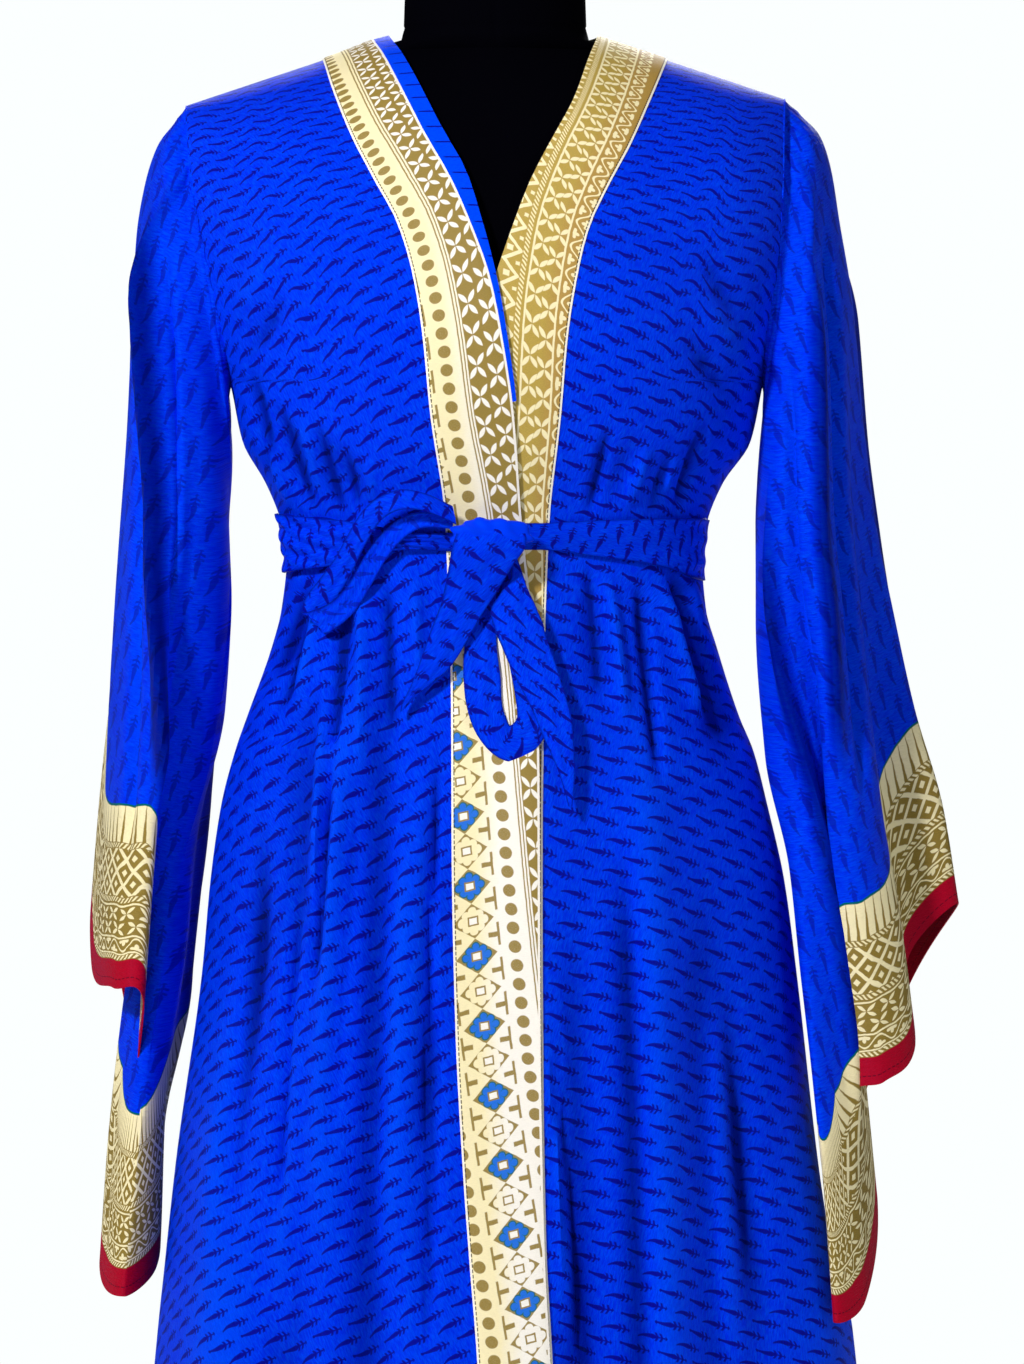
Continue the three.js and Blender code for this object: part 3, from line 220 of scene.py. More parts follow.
def mix(a, b, t):
    """The value part t of the way from a to b."""
    return a + (b - a) * t


def smooth(t):
    """A smooth step: 3t^2 - 2t^3 between 0 and 1, flat outside."""
    t = np.clip(t, 0, 1)
    return t * t * (3 - 2 * t)


def hermite(a, b, tangent_a, tangent_b, t):
    """The cubic from a to b with the given slopes at its ends."""
    return (a * (1 + 2 * t) * (1 - t) ** 2 + tangent_a * t * (1 - t) ** 2
            + b * t * t * (3 - 2 * t) + tangent_b * t * t * (t - 1))


def along(table, by, column, at):
    """A smooth curve through one column, sorted by another: cubics with no overshoot.
    Each inner slope is the harmonic mean of its two neighbours, or 0 where they differ in sign."""
    x, y = table[by], table[column]
    at = np.clip(at, x[0], x[-1])
    slope = np.diff(y) / np.diff(x)
    before, after = slope[:-1], slope[1:]
    total = np.where(before + after == 0, 1, before + after)
    inner = np.where(before * after > 0, 2 * before * after / total, 0)
    tangent = np.concatenate([slope[:1], inner, slope[-1:]])
    i = np.clip(np.searchsorted(x, at, side="right") - 1, 0, len(x) - 2)
    step = x[i + 1] - x[i]
    return hermite(y[i], y[i + 1], tangent[i] * step, tangent[i + 1] * step, (at - x[i]) / step)


def around(table, column, turn):
    """A smooth closed curve through one column of a table whose turn runs from 0 to 1."""
    x, y = table["turn"], table[column]
    x = np.concatenate([x[-1:] - 1, x, x[:2] + 1])
    y = np.concatenate([y[-1:], y, y[:2]])
    i = np.clip(np.searchsorted(x, turn, side="right") - 1, 1, len(x) - 3)
    step = x[i + 1] - x[i]
    slope_a = (y[i + 1] - y[i - 1]) / (x[i + 1] - x[i - 1])
    slope_b = (y[i + 2] - y[i]) / (x[i + 2] - x[i])
    return hermite(y[i], y[i + 1], slope_a * step, slope_b * step, (turn - x[i]) / step)


def arc(points, axis):
    """Distance run along an axis of a grid of points, from its first row or column."""
    step = np.linalg.norm(np.diff(points, axis=axis), axis=-1)
    zero = np.zeros_like(np.take(step, [0], axis=axis))
    return np.concatenate([zero, np.cumsum(step, axis=axis)], axis=axis)


def unit(v):
    """Vectors of length 1."""
    return v / np.maximum(np.linalg.norm(v, axis=-1, keepdims=True), 1e-9)


def ripple(x, z, seed):
    """Slow uneven waves: six sines of mixed directions and lengths, added and scaled to about 1."""
    draw = np.random.default_rng(seed)
    total = 0
    for _ in range(6):
        kx, kz, phase = draw.uniform(0.02, 0.075), draw.uniform(-0.016, 0.016), draw.uniform(0, 6.3)
        total = total + np.sin(kx * x + kz * z + phase)
    return total / 3


# ---- The worn body ----

def setting(name):
    """A size that the user may change, in millimetres."""
    return getattr(bpy.context.scene.robe_sizes, name) / MM


def side(name):
    """-1 for the wearer's right, which is the viewer's left, and 1 for the left."""
    return -1 if name == "right" else 1


def half_width(x, z):
    """Half width of the body at a height, on the side where x lies."""
    return np.where(x < 0, along(BODY, "z", "right", z), along(BODY, "z", "left", z))


def armhole_x(name, z):
    """Where the armhole seam lies across the body."""
    return side(name) * along(BODY, "z", name, z) * (1 - along(ARMHOLE, "z", "inside", z))


def ridge(x):
    """Height of the shoulder seam's line over a point x across."""
    return NECK_Z - SHOULDER_SLOPE * (np.abs(x) - NECK_X)


def height_at_drop(edge, drop):
    """Height of a point that lies a drop below the shoulder line on an edge x(z)."""
    z = NECK_Z - drop
    for _ in range(12):
        z = ridge(edge(z)) - drop
    return z


def folds(table, x, z, narrow=1.0):
    """Sum of soft ridges and troughs: a Gaussian across each fold, faded in and out along it."""
    total = np.zeros(np.broadcast(x, z).shape)
    for row in zip(*table.values()):
        from_x, from_z, to_x, to_z, out, wide, soft = row
        t = (z - from_z) / (to_z - from_z)
        length = abs(to_z - from_z)
        middle = mix(from_x, to_x, np.clip(t, 0, 1))
        width = wide * narrow * (1 + 0.6 * smooth((900 - z) / 800))
        end = 1 if to_z < 150 else smooth((1 - t) * length / soft)
        total += out * np.exp(-(((x - middle) / width) ** 2)) * smooth(t * length / soft) * end
    return total


def cross_lift(name, x):
    """Extra distance of the right front from the body where it lies on the left one."""
    return setting("crossing") * smooth((x + 118) / 84) if name == "right" else 0 * x


def on_body(x, z, face, lift=0.0, fine=1.0):
    """Points and outward normals of the worn body. fine = 0 leaves out the creases, and with them the
    limit that keeps the cloth clear of the form: a soft maximum of the shift and that limit. Creases
    fade out at the side seams above the slits, and the belt draws the cloth in around its level.
    Each level is a superellipse, (x/a)^n + (y/b)^n = 1, whose depth b is rounded off towards the
    shoulder line by a quarter circle, y = b C(x) sqrt(1 - m^2), with m falling from 1 on that line."""
    x, z = np.broadcast_arrays(np.asarray(x, float), np.asarray(z, float))
    a, b = half_width(x, z), along(BODY, "z", face, z)
    s = np.minimum(np.abs(x) / a, 1)
    rest = np.maximum(1 - s ** BODY_ROUND, 0)
    c = rest ** (1 / BODY_ROUND)
    m = np.clip(1 - (ridge(x) - z) / SHOULDER_ROLL, 0, 1)
    r = np.sqrt(1 - m * m)
    out = -1 if face == "front" else 1
    slope = SHOULDER_SLOPE * np.sign(x) * smooth(np.abs(x) / 30)
    steep = np.maximum(rest, 1e-4) ** (2 / BODY_ROUND - 1)
    normal = unit(np.stack([
        r * r * np.sign(x) * s ** (BODY_ROUND - 1) * steep / a + m * c * c * slope / SHOULDER_ROLL,
        out * r * c / b,
        m * c * c / SHOULDER_ROLL,
    ], -1))
    point = np.stack([x, out * b * c * r, z], -1)
    calm = smooth((ridge(x) - z) / 60) * smooth((a - np.abs(x)) / 14)
    detail = CREASE_GAIN * folds(CREASES[face], x, z) + RIPPLE_GAIN * ripple(x, z, BODY_SEEDS[face]) * calm
    shift = folds(FOLDS[face], x, z) * (1 + 0.45 * fine * smooth((1060 - z) / 200)) + fine * detail
    low = mix(SINK_HIGH, SINK_LOW, smooth((SINK_FROM[face] - z) / 70))
    clear = low + 0.5 * (shift - low + np.sqrt((shift - low) ** 2 + 3))
    seam = smooth((a - np.abs(x)) / 11 + smooth((SLIT_TOP + 60 - z) / 60))
    drawn = 2.6 * np.exp(-(((z - BELT_Z) / 24) ** 2))
    shift = lift + np.where(fine > 0, clear * seam - drawn, shift)
    return point + normal * np.asarray(shift)[..., None], normal


# ---- Meshes ----

def build(name, points, quads, caps=(), maps=None, attributes=None, sharp=50):
    """A mesh object from points in mm, quads, end faces, UV maps in mm and point attributes."""
    quads = np.asarray(quads, np.int32)
    corners = np.concatenate([quads.ravel(), *[np.asarray(cap, np.int32) for cap in caps]])
    sizes = np.array([4] * len(quads) + [len(cap) for cap in caps])
    mesh = bpy.data.meshes.new(name)
    mesh.vertices.add(len(points))
    mesh.vertices.foreach_set("co", (points * MM).astype(np.float32).ravel())
    mesh.loops.add(len(corners))
    mesh.loops.foreach_set("vertex_index", corners)
    mesh.polygons.add(len(sizes))
    mesh.polygons.foreach_set("loop_start", (np.cumsum(sizes) - sizes).astype(np.int32))
    mesh.update(calc_edges=True)
    mesh.polygons.foreach_set("use_smooth", np.ones(len(sizes), bool))
    for key, uv in (maps or {}).items():
        layer = mesh.uv_layers.new(name=key)
        layer.uv.foreach_set("vector", np.ascontiguousarray(uv, np.float32).ravel())
    for key, values in (attributes or {}).items():
        mesh.attributes.new(key, "FLOAT", "POINT").data.foreach_set("value", values.astype(np.float32))
    mesh.set_sharp_from_angle(angle=math.radians(sharp))
    mesh.validate()
    piece = bpy.data.objects.new(name, mesh)
    bpy.context.scene.collection.objects.link(piece)
    return piece


def wall(name, points, normals, uv, thick, closed=False, attributes=None, hem=None):
    """A closed shell: its outer face lies on a grid of points and its inner face behind them.
    uv and hem are grids for the maps "cut" and "hem", with one column more than the points where the
    grid closes on itself. The faces are turned over as a whole where their volume is negative."""
    rows, count = points.shape[:2]
    both = np.concatenate([points.reshape(-1, 3), (points - normals * thick).reshape(-1, 3)])
    span = count if closed else count - 1
    i, j = (grid.ravel() for grid in np.meshgrid(np.arange(rows - 1), np.arange(span), indexing="ij"))
    r, c = np.arange(rows - 1), np.arange(span)
    left, right = 0 * r, 0 * r + span
    first, last = 0 * c, 0 * c + rows - 1
    faces = [
        ((i, j, 0), (i, j + 1, 0), (i + 1, j + 1, 0), (i + 1, j, 0)),
        ((i, j, 1), (i + 1, j, 1), (i + 1, j + 1, 1), (i, j + 1, 1)),
        ((first, c + 1, 0), (first, c, 0), (first, c, 1), (first, c + 1, 1)),
        ((last, c, 0), (last, c + 1, 0), (last, c + 1, 1), (last, c, 1)),
    ]
    if not closed:
        faces.append(((r, left, 0), (r + 1, left, 0), (r + 1, left, 1), (r, left, 1)))
        faces.append(((r + 1, right, 0), (r, right, 0), (r, right, 1), (r + 1, right, 1)))
    quads = np.concatenate([
        np.stack([k * rows * count + row * count + column % count for row, column, k in face], -1)
        for face in faces
    ])
    maps = {
        key: np.concatenate([
            np.stack([grid[row, np.minimum(column, grid.shape[1] - 1)] for row, column, _ in face], -2)
            for face in faces
        ])
        for key, grid in {"cut": uv, "hem": hem}.items() if grid is not None
    }
    corner = both[quads]
    volume = np.sum(np.cross(corner[:, 0], corner[:, 1]) * corner[:, 2])
    volume += np.sum(np.cross(corner[:, 0], corner[:, 2]) * corner[:, 3])
    if volume < 0:
        quads, maps = quads[:, ::-1], {key: loops[:, ::-1] for key, loops in maps.items()}
    values = {"inside": np.repeat([0.0, 1.0], rows * count)}
    values.update({key: np.tile(value.ravel(), 2) for key, value in (attributes or {}).items()})
    return build(name, both, quads, maps=maps, attributes=values)


def stack(name, rings, sharp=50):
    """A closed body from level rings, bottom up, each running anticlockwise seen from above."""
    rows, count = rings.shape[:2]
    i, j = (grid.ravel() for grid in np.meshgrid(np.arange(rows - 1), np.arange(count), indexing="ij"))
    k = (j + 1) % count
    quads = np.stack([i * count + j, i * count + k, (i + 1) * count + k, (i + 1) * count + j], -1)
    caps = [np.arange(count)[::-1], (rows - 1) * count + np.arange(count)]
    return build(name, rings.reshape(-1, 3), quads, caps, sharp=sharp)


def turned(name, profile, count=96):
    """A turned body: each (radius, height) of the profile is a circle round the Z axis."""
    angle = np.arange(count) * 2 * np.pi / count
    radius, height = np.array(profile, float).T
    ring = np.stack([np.cos(angle), np.sin(angle), 0 * angle], -1)
    rings = radius[:, None, None] * ring + height[:, None, None] * np.array([0, 0, 1])
    return stack(name, rings, sharp=35)


def grid_normals(points, closed=False):
    """Unit normals of a grid, from the differences between its neighbours."""
    down = np.gradient(points, axis=0)
    across = (np.roll(points, -1, 1) - np.roll(points, 1, 1)) if closed else np.gradient(points, axis=1)
    return unit(np.cross(across, down))


# ---- Shapes of the pieces ----

LOW_ROWS, ARMHOLE_ROWS, ROLL_ROWS = 240, 14, 18
FRONT_COLUMNS, BACK_COLUMNS, BAND_COLUMNS = 78, 160, 16
TUCK = 5.0


def shared_rows(name):
    """Heights of a band's free edge and seam and of the armhole, on the rows that they share: level
    below the armpit, and following the slope of the shoulder above it."""
    edges = {
        "free": lambda z: along(BANDS[name], "z", "free", z),
        "seam": lambda z: along(BANDS[name], "z", "seam", z),
        "outer": lambda z: armhole_x(name, z),
    }
    drops = SHOULDER_ROLL * (1 - np.cos(np.linspace(np.pi / 2, 0, ROLL_ROWS)))
    rows = {}
    for key, edge in edges.items():
        rolled = height_at_drop(edge, drops)
        between = mix(ARMPIT, rolled[0], np.arange(1, ARMHOLE_ROWS) / ARMHOLE_ROWS)
        rows[key] = np.concatenate([np.linspace(HEM, ARMPIT, LOW_ROWS), between, rolled])
    rows["sloped"] = np.arange(len(rows["free"])) >= LOW_ROWS
    return rows


def angle_of(name, x, z):
    """Signed angle round the body from its middle, for a point x across: sin^2 = (|x|/a)^n."""
    a = along(BODY, "z", name, z)
    return side(name) * np.sign(x) * np.arcsin(np.minimum(np.abs(x) / a, 1) ** (BODY_ROUND / 2))


def across_at(name, angle, z):
    """The x at an angle round the body, on the side of that name."""
    a = along(BODY, "z", name, z)
    return side(name) * np.sign(angle) * a * np.abs(np.sin(angle)) ** (2 / BODY_ROUND)


def slit_turn(z):
    """How far a side edge has turned from the side seam at a height below the slit's top."""
    return SLIT_SPREAD * smooth((SLIT_TOP - z) / (SLIT_TOP - HEM))


def hollow(x, z, face):
    """How deep a point lies in the folds (1 is a deep trough, -1 a high ridge). The materials turn it into
    painted shade in the troughs and a painted highlight on the ridges.
    """
    return np.clip(-(folds(FOLDS[face], x, z, 0.8) + 2.6 * folds(CREASES[face], x, z, 0.7)) / 8, -1, 1)


def front_panel(name):
    """A front: on each row the columns are spaced by angle, from under the band to the side seam."""
    rows = shared_rows(name)
    z_in, z_out = rows["seam"][:, None], rows["outer"][:, None]
    seam = along(BANDS[name], "z", "seam", z_in)
    free = along(BANDS[name], "z", "free", rows["free"][:, None])
    x_in, x_out = seam + TUCK * np.sign(free - seam), armhole_x(name, z_out)
    sloped = rows["sloped"][:, None]
    u = np.linspace(0, 1, FRONT_COLUMNS + 1)[None]
    last = np.where(sloped, angle_of(name, x_out, z_out), np.pi / 2 - slit_turn(z_out))
    angle = mix(angle_of(name, x_in, z_in), last, u)
    z = mix(z_in, z_out, u)
    drop = mix(ridge(seam) - z_in, ridge(x_out) - z_out, u)
    for _ in range(6):
        x = across_at(name, angle, z)
        z = np.where(sloped, ridge(x) - drop, z)
    point, normal = on_body(x, z, "front", cross_lift(name, x))
    point[..., 1] -= 0.05
    flat = side(name) * arc(point, 1) + x_in
    deep = {"hollow": hollow(x, z, "front")}
    return wall(f"cloth_front_{name}", point, normal, cut(flat, point, z), setting("cloth"), attributes=deep)


def eased(rise, z):
    """Distances up the cloth, with the print drawn closer towards the shoulder, where it eases."""
    step = np.diff(rise, axis=0) * (1 + 0.8 * smooth((z[1:] - 1190) / 190))
    return np.concatenate([0 * rise[:1], np.cumsum(step, axis=0)])


def cut(flat, point, z):
    """Print coordinates: a distance across, and the height carried on along the cloth's slope."""
    return np.stack([flat, eased(arc(point, 0), z) + z[:1]], -1)


def back_top(x):
    """Height of the back's top edge: the shoulder line, cut out between the bands for the neck."""
    inside = np.maximum(1 - (x / BAND_SHOULDER_X) ** 2, 0)
    shoulder = ridge(BAND_SHOULDER_X)
    return shoulder - (BACK_NECK_DEPTH - (ridge(0) - shoulder)) * np.sqrt(inside)


def back_panel():
    """The back: level rows below the armpit, which take on the neck and shoulder line above it."""
    j = np.linspace(-1, 1, BACK_COLUMNS + 1)
    u = np.abs(j)[None]
    halves = []
    for name in ("right", "left"):
        rows = shared_rows(name)
        outer, sloped = rows["outer"][:, None], rows["sloped"][:, None]
        column = u * 11
        top_x = BAND_SHOULDER_X * np.cos(np.interp(column, np.arange(7), NECK_ANGLES))
        tip = abs(float(armhole_x(name, rows["outer"][-1])))
        top_x = np.where(column > 6, mix(BAND_SHOULDER_X, tip, (column - 6) / 5), top_x)
        rise = np.clip((outer - ARMPIT) / (rows["outer"][-1] - ARMPIT), 0, 1)
        low = np.sin(u * np.pi / 2) ** (2 / BODY_ROUND)
        share = mix(low, top_x / tip, smooth(rise))
        x_high = side(name) * share * np.abs(armhole_x(name, outer))
        tucked = back_top(top_x) + TUCK * smooth((BAND_SHOULDER_X - top_x) / 20)
        top = np.where(top_x < BAND_SHOULDER_X, tucked, ridge(top_x))
        z_high = np.where(u == 1, outer, mix(ARMPIT, top, rise))
        x_low = across_at(name, u * (np.pi / 2 - 0.5 * slit_turn(outer)), outer)
        x = np.where(sloped, x_high, x_low)
        z = np.where(sloped, np.minimum(z_high, ridge(x)), outer + 0 * u)
        point, normal = on_body(x, z, "back")
        halves.append((point, normal, z, hollow(x, z, "back")))
    right = (j < 0)[None, :]
    point, normal, z, depth = (
        np.where(right[..., None] if one.ndim == 3 else right, one, two) for one, two in zip(*halves))
    point[..., 1] += 0.05
    flat = arc(point, 1)
    flat = flat - flat[:, BACK_COLUMNS // 2][:, None]
    deep = {"hollow": depth}
    return wall("cloth_back", point, normal, cut(flat, point, z), setting("cloth"), attributes=deep)


def band(name):
    """A front band: between its seam and free edge up the front, over the shoulder and round the neck."""
    rows = shared_rows(name)
    z_seam, z_free = rows["seam"], rows["free"]
    x_seam, x_free = along(BANDS[name], "z", "seam", z_seam), along(BANDS[name], "z", "free", z_free)
    turn = np.linspace(0, np.pi / 2, 40)[1:]
    neck_x = BAND_SHOULDER_X * np.cos(turn)
    reach = mix(abs(x_free[-1]), NECK_X, np.sin(turn))
    front = np.concatenate([x_seam, side(name) * neck_x]), np.concatenate([z_seam, back_top(neck_x)])
    edge = (np.concatenate([x_free, side(name) * reach * np.cos(turn)]),
            np.concatenate([z_free, mix(z_free[-1], NECK_Z - 4, np.sin(turn))]))
    w = np.linspace(0, 1, BAND_COLUMNS + 1)[None]
    x = mix(front[0][:, None], edge[0][:, None], w)
    z = mix(front[1][:, None], edge[1][:, None], w)
    z = np.minimum(z, ridge(x))
    lift = setting("band_lift") - 0.5 * (1 - smooth(w / 0.06)) - 0.5 * (1 - smooth((1 - w) / 0.06))
    on_front = np.arange(len(x)) < len(z_seam)
    a = on_body(x, z, "front", cross_lift(name, x) + lift)
    b = on_body(x, z, "back", lift + 0 * x)
    point, normal = (np.where(on_front[:, None, None], one, two) for one, two in zip(a, b))
    middle = point[:, BAND_COLUMNS // 2]
    lean = unit(np.gradient(middle, axis=0))[:, :1] * side(name)
    level = arc(point, 1)
    wide = level * np.sqrt(1 - lean * lean)
    long = eased(arc(point, 0)[:, BAND_COLUMNS // 2], z[:, 0])[:, None] + HEM - level * lean
    uv = np.stack([wide, long], -1)
    edge = wide[:, -1:] - wide
    return wall(f"band_cloth_{name}", point, normal, uv, setting("cloth"), attributes={"edge": edge})


def band_underside():
    """The plain inner face of the right band where it rolls out along the neck edge."""
    rows = shared_rows("right")
    z_free = rows["free"][rows["free"] >= UNDERSIDE["z"][0]]
    edge = along(BANDS["right"], "z", "free", z_free)[:, None]
    z_free = z_free[:, None]
    width = along(UNDERSIDE, "z", "width", z_free)
    w = np.linspace(0, 1, 7)[None] * width
    x = edge + w
    z = np.minimum(z_free + w * 0.3, ridge(x) - 0.3)
    point, normal = on_body(x, z, "front", cross_lift("right", edge) + setting("band_lift") - 0.3 - 0.08 * w)
    uv = np.stack([w, arc(point, 0) + z_free[0]], -1)
    return wall("band_underside", point, normal, uv, setting("cloth"))


SLEEVE_RINGS, SLEEVE_COLUMNS = 132, 208


def armhole(name, turn):
    """The armhole as a closed line: from the armpit up the front, over the shoulder, down the back."""
    def edge(z):
        return armhole_x(name, z)

    index = np.where(turn <= 0.5, turn, 1 - turn) * 16
    roll = np.radians([90, 68, 48, 30, 15, 0])
    start = height_at_drop(edge, SHOULDER_ROLL)
    angle = np.interp(index, np.arange(3, 9), roll)
    high = height_at_drop(edge, SHOULDER_ROLL * (1 - np.cos(angle)))
    z = np.where(index < 3, mix(ARMPIT, start, index / 3), high)
    front, back = (on_body(edge(z), z, face)[0] for face in ("front", "back"))
    return np.where((turn <= 0.5)[:, None], front, back)


def sleeve_fold(name, turn, drop, girth):
    """Sum of soft folds that run down the sleeve, each a Gaussian of the distance round it."""
    total = np.zeros(np.broadcast(turn, drop).shape)
    for row in zip(*SLEEVE_FOLDS[name].values()):
        from_turn, from_drop, to_turn, to_drop, out, wide, soft = row
        t = (drop - from_drop) / (to_drop - from_drop)
        middle = mix(from_turn, to_turn, np.clip(t, 0, 1))
        gap = (turn - middle + 0.5) % 1 - 0.5
        span = (to_drop - from_drop) * SLEEVE_LENGTH
        ends = smooth(t * span / soft) * smooth((1 - t) * span / soft)
        total += out * np.exp(-((gap * girth / wide) ** 2)) * ends
    return total


def hem_map(point):
    """Print coordinates of the border, with the sleeve rolled out flat. Near the underarm seam they
    are square to the hem: its slope is smoothed and held under 35 degrees, and a height h above it
    counts as h cos(slope) off the hem and h sin(slope) along it, so that both sides meet in a point."""
    point = np.concatenate([point, point[:, :1]], 1)
    level = arc(point[-1:, :, :2], 1)[0]
    slope = np.arctan2(np.gradient(point[-1, :, 2]), np.gradient(level))
    kernel = np.hanning(23) / np.sum(np.hanning(23))
    slope = np.convolve(np.pad(slope, 11, mode="edge"), kernel, mode="valid")
    turn = np.linspace(0, 1, len(slope))
    slope = np.clip(slope, -0.6, 0.6) * smooth((0.18 - np.minimum(turn, 1 - turn)) / 0.08)
    step = np.diff(level) / np.cos((slope[1:] + slope[:-1]) / 2)
    place = np.concatenate([[0], np.cumsum(step)])
    height = point[..., 2] - point[-1, :, 2]
    return np.stack([place + height * np.sin(slope), height * np.cos(slope)], -1)


def sleeve(name):
    """A sleeve: every column runs from the armhole to the hem. The ring at each drop is an oval that
    takes on the hem's folded outline on the way down, and folds move it in and out. Its print runs
    straight down and counts 0.35 of the depth across and 0.2 of it up, so that it isn't crowded in folds."""
    sign, table, hem = side(name), SLEEVE_SECTIONS[name], SLEEVE_HEM[name]
    turn = (np.arange(SLEEVE_COLUMNS) / SLEEVE_COLUMNS)[None]
    drop = (np.linspace(0, 1, SLEEVE_RINGS + 1) ** 1.12)[:, None]
    start = armhole(name, turn[0])[None]
    outer, inner, deep, middle = (along(table, "drop", key, drop) for key in SECTION_NAMES.split()[1:])
    angle = 2 * np.pi * turn
    folded = smooth((drop - 0.12) / 0.8)
    share = mix(0.5 + 0.5 * np.cos(angle), around(hem, "across", turn), folded)
    y = mix(middle - deep * np.sin(angle), around(hem, "y", turn), folded)
    hung = np.stack([sign * mix(outer, inner, share), y, 0 * y], -1)
    quick = mix(0.15, 0.015, (0.5 - 0.5 * np.cos(angle)) ** 2)
    point = mix(start, hung, smooth(drop / quick)[..., None])
    point[..., 2] = mix(start[..., 2], around(hem, "z", turn), drop)
    normal = sign * grid_normals(point, closed=True)
    girth = arc(np.concatenate([point, point[:, :1]], 1), 1)
    fold = SLEEVE_FOLD_GAIN * sleeve_fold(name, turn, drop, girth[:, -1:])
    pucker = 0.5 * np.cos(angle * 37) * np.exp(-((drop / 0.03) ** 2)) * smooth(drop / 0.006)
    swell = 1.6 * np.exp(-(((drop - 0.02) / 0.014) ** 2))
    uneven = 1.2 * ripple(girth[:, :-1], point[..., 2], SLEEVE_SEEDS[name]) * smooth(drop / 0.1)
    point = point + normal * (fold + pucker + swell + uneven)[..., None]
    normal = sign * grid_normals(point, closed=True)
    point[0] = start[0]
    x, y, z = np.moveaxis(point, -1, 0)
    printed = np.stack([sign * x + 0.35 * y, z - 0.2 * y], -1)
    printed = np.concatenate([printed, printed[:, :1]], 1)
    # How deep the sleeve's folds lie, for painted shade in their troughs and a painted highlight on their
    # ridges.
    deep = {"hollow": np.clip(-(fold + uneven) / 10, -1, 1) * smooth(drop / 0.1)}
    return wall(f"sleeve_cloth_{name}", point, normal, printed, setting("cloth"),
                closed=True, attributes=deep, hem=hem_map(point))


def rim_shade(w, width):
    """How near a point is to a strip's two edges, at w = -1 and 1: a Gaussian of its distance. The blue
    print paints shade there.
    """
    return np.exp(-((1 - np.abs(w)) * width / 2 / 0.9) ** 2)


def tie(name):
    """The belt on one side: rolled folds that draw together towards the knot, on the cloth."""
    table = TIES[name]
    near, far = table["reach"][0], table["reach"][-1]
    level = 1060.0
    t = np.linspace(0, 1, 90)[:, None]
    first = angle_of(name, side(name) * (near - 17), level)
    angle = mix(first, np.pi / 2 - 0.02, t)
    reach = np.clip(np.abs(across_at(name, angle, level)), near, far)
    w = np.linspace(0, 1, 41)[None]
    z = mix(along(table, "reach", "bottom", reach), along(table, "reach", "top", reach), w)
    x = across_at(name, angle, z)
    thick = setting("belt")
    sewn = 1 - 0.85 * smooth((t - 0.8) / 0.2)
    loose = smooth(t / 0.16)
    dome = 1.4 * (1 - (2 * w - 1) ** 2) * sewn * loose
    if name == "right":
        rolls = 2.4 * np.abs(np.sin(np.pi * (2 * w + 0.5 * smooth((t - 0.1) / 0.7)))) ** 0.7
        rolls = rolls + 0.8 * np.sin(2 * np.pi * (3.4 * w - 4.5 * t))
    else:
        fan = smooth((t - 0.35) / 0.5)
        rolls = 1.1 * fan * np.sin(2 * np.pi * (2.6 * w - 0.6 * t))
        rolls = rolls + 0.5 * np.sin(2 * np.pi * (w - 1.3 * t))
    stand = setting("band_lift") * sewn * loose + 0.6 + thick * mix(0.4, 1, sewn)
    rolls = rolls * sewn * mix(0.4, 1, loose)
    point, normal = on_body(x, z, "front", cross_lift(name, x) + stand + dome + rolls)
    uv = np.stack([arc(point, 0) + near, mix(-19, 19, w) + 0 * t], -1)
    rim = {"rim": rim_shade(2 * w - 1, 30) + 0 * t}
    return wall(f"belt_{name}", point, grid_normals_like(point, normal), uv, thick, attributes=rim)


def grid_normals_like(point, guide):
    """Unit normals of a grid, turned to the side that the guide vectors face."""
    normal = grid_normals(point)
    return normal * np.sign(np.sum(normal * guide, -1, keepdims=True))


def path(points, at):
    """A smooth curve through points: a centripetal Catmull-Rom spline, by repeated linear steps."""
    ends = np.concatenate([2 * points[:1] - points[1:2], points, 2 * points[-1:] - points[-2:-1]])
    i = np.clip(at.astype(int), 0, len(points) - 2)
    p = [ends[i + k] for k in range(4)]
    knots = [0 * at]
    for k in range(3):
        knots.append(knots[-1] + np.linalg.norm(p[k + 1] - p[k], axis=-1) ** 0.5)
    t = mix(knots[1], knots[2], at - i)[:, None]
    knots = [k[:, None] for k in knots]
    for level in range(1, 4):
        p = [((knots[k + level] - t) * p[k] + (t - knots[k]) * p[k + 1]) / (knots[k + level] - knots[k])
             for k in range(4 - level)]
    return p[0]


def ribbon(name):
    """A loose length of belt: a strip swept along its middle line, cupped and lightly wrinkled."""
    table = RIBBONS[name]
    x, z = table["x"], table["z"]
    face = on_body(x, z, "front", fine=0)[0][:, 1]
    dip = np.minimum(folds(FOLDS["front"], x, z), 0)
    middle = np.stack([x, face + dip - table["out"], z], -1)
    count = (len(x) - 1) * 14
    at = np.linspace(0, len(x) - 1, count + 1)
    numbered = dict(table, i=np.arange(len(x), dtype=float))
    lean = np.radians(along(numbered, "i", "lean", at))
    width = along(numbered, "i", "width", at)[:, None]
    centre = path(middle, np.minimum(at, len(x) - 1 - 1e-9))
    across = np.stack([np.cos(lean), 0 * lean, np.sin(lean)], -1)
    normal = unit(np.cross(np.gradient(centre, axis=0), across))[:, None]
    w = np.linspace(-1, 1, 21)[None]
    long = arc(centre, 0)[:, None]
    creased = 0.6 * np.sin(long / 9 + 2.2 * w) * np.sin(long / 21 + 1) + 0.35 * np.sin(7 * w + long / 13)
    lift = setting("belt") / 2 - 0.05 * width * w * w + creased * smooth(width / 20)
    point = centre[:, None] + across[:, None] * (w * width / 2)[..., None] + normal * lift[..., None]
    uv = np.stack([w * width / 2, long + 0 * w], -1)
    rim = {"rim": rim_shade(w, width)}
    return wall(name + "_cloth", point, normal + 0 * point, uv, setting("belt"), attributes=rim)


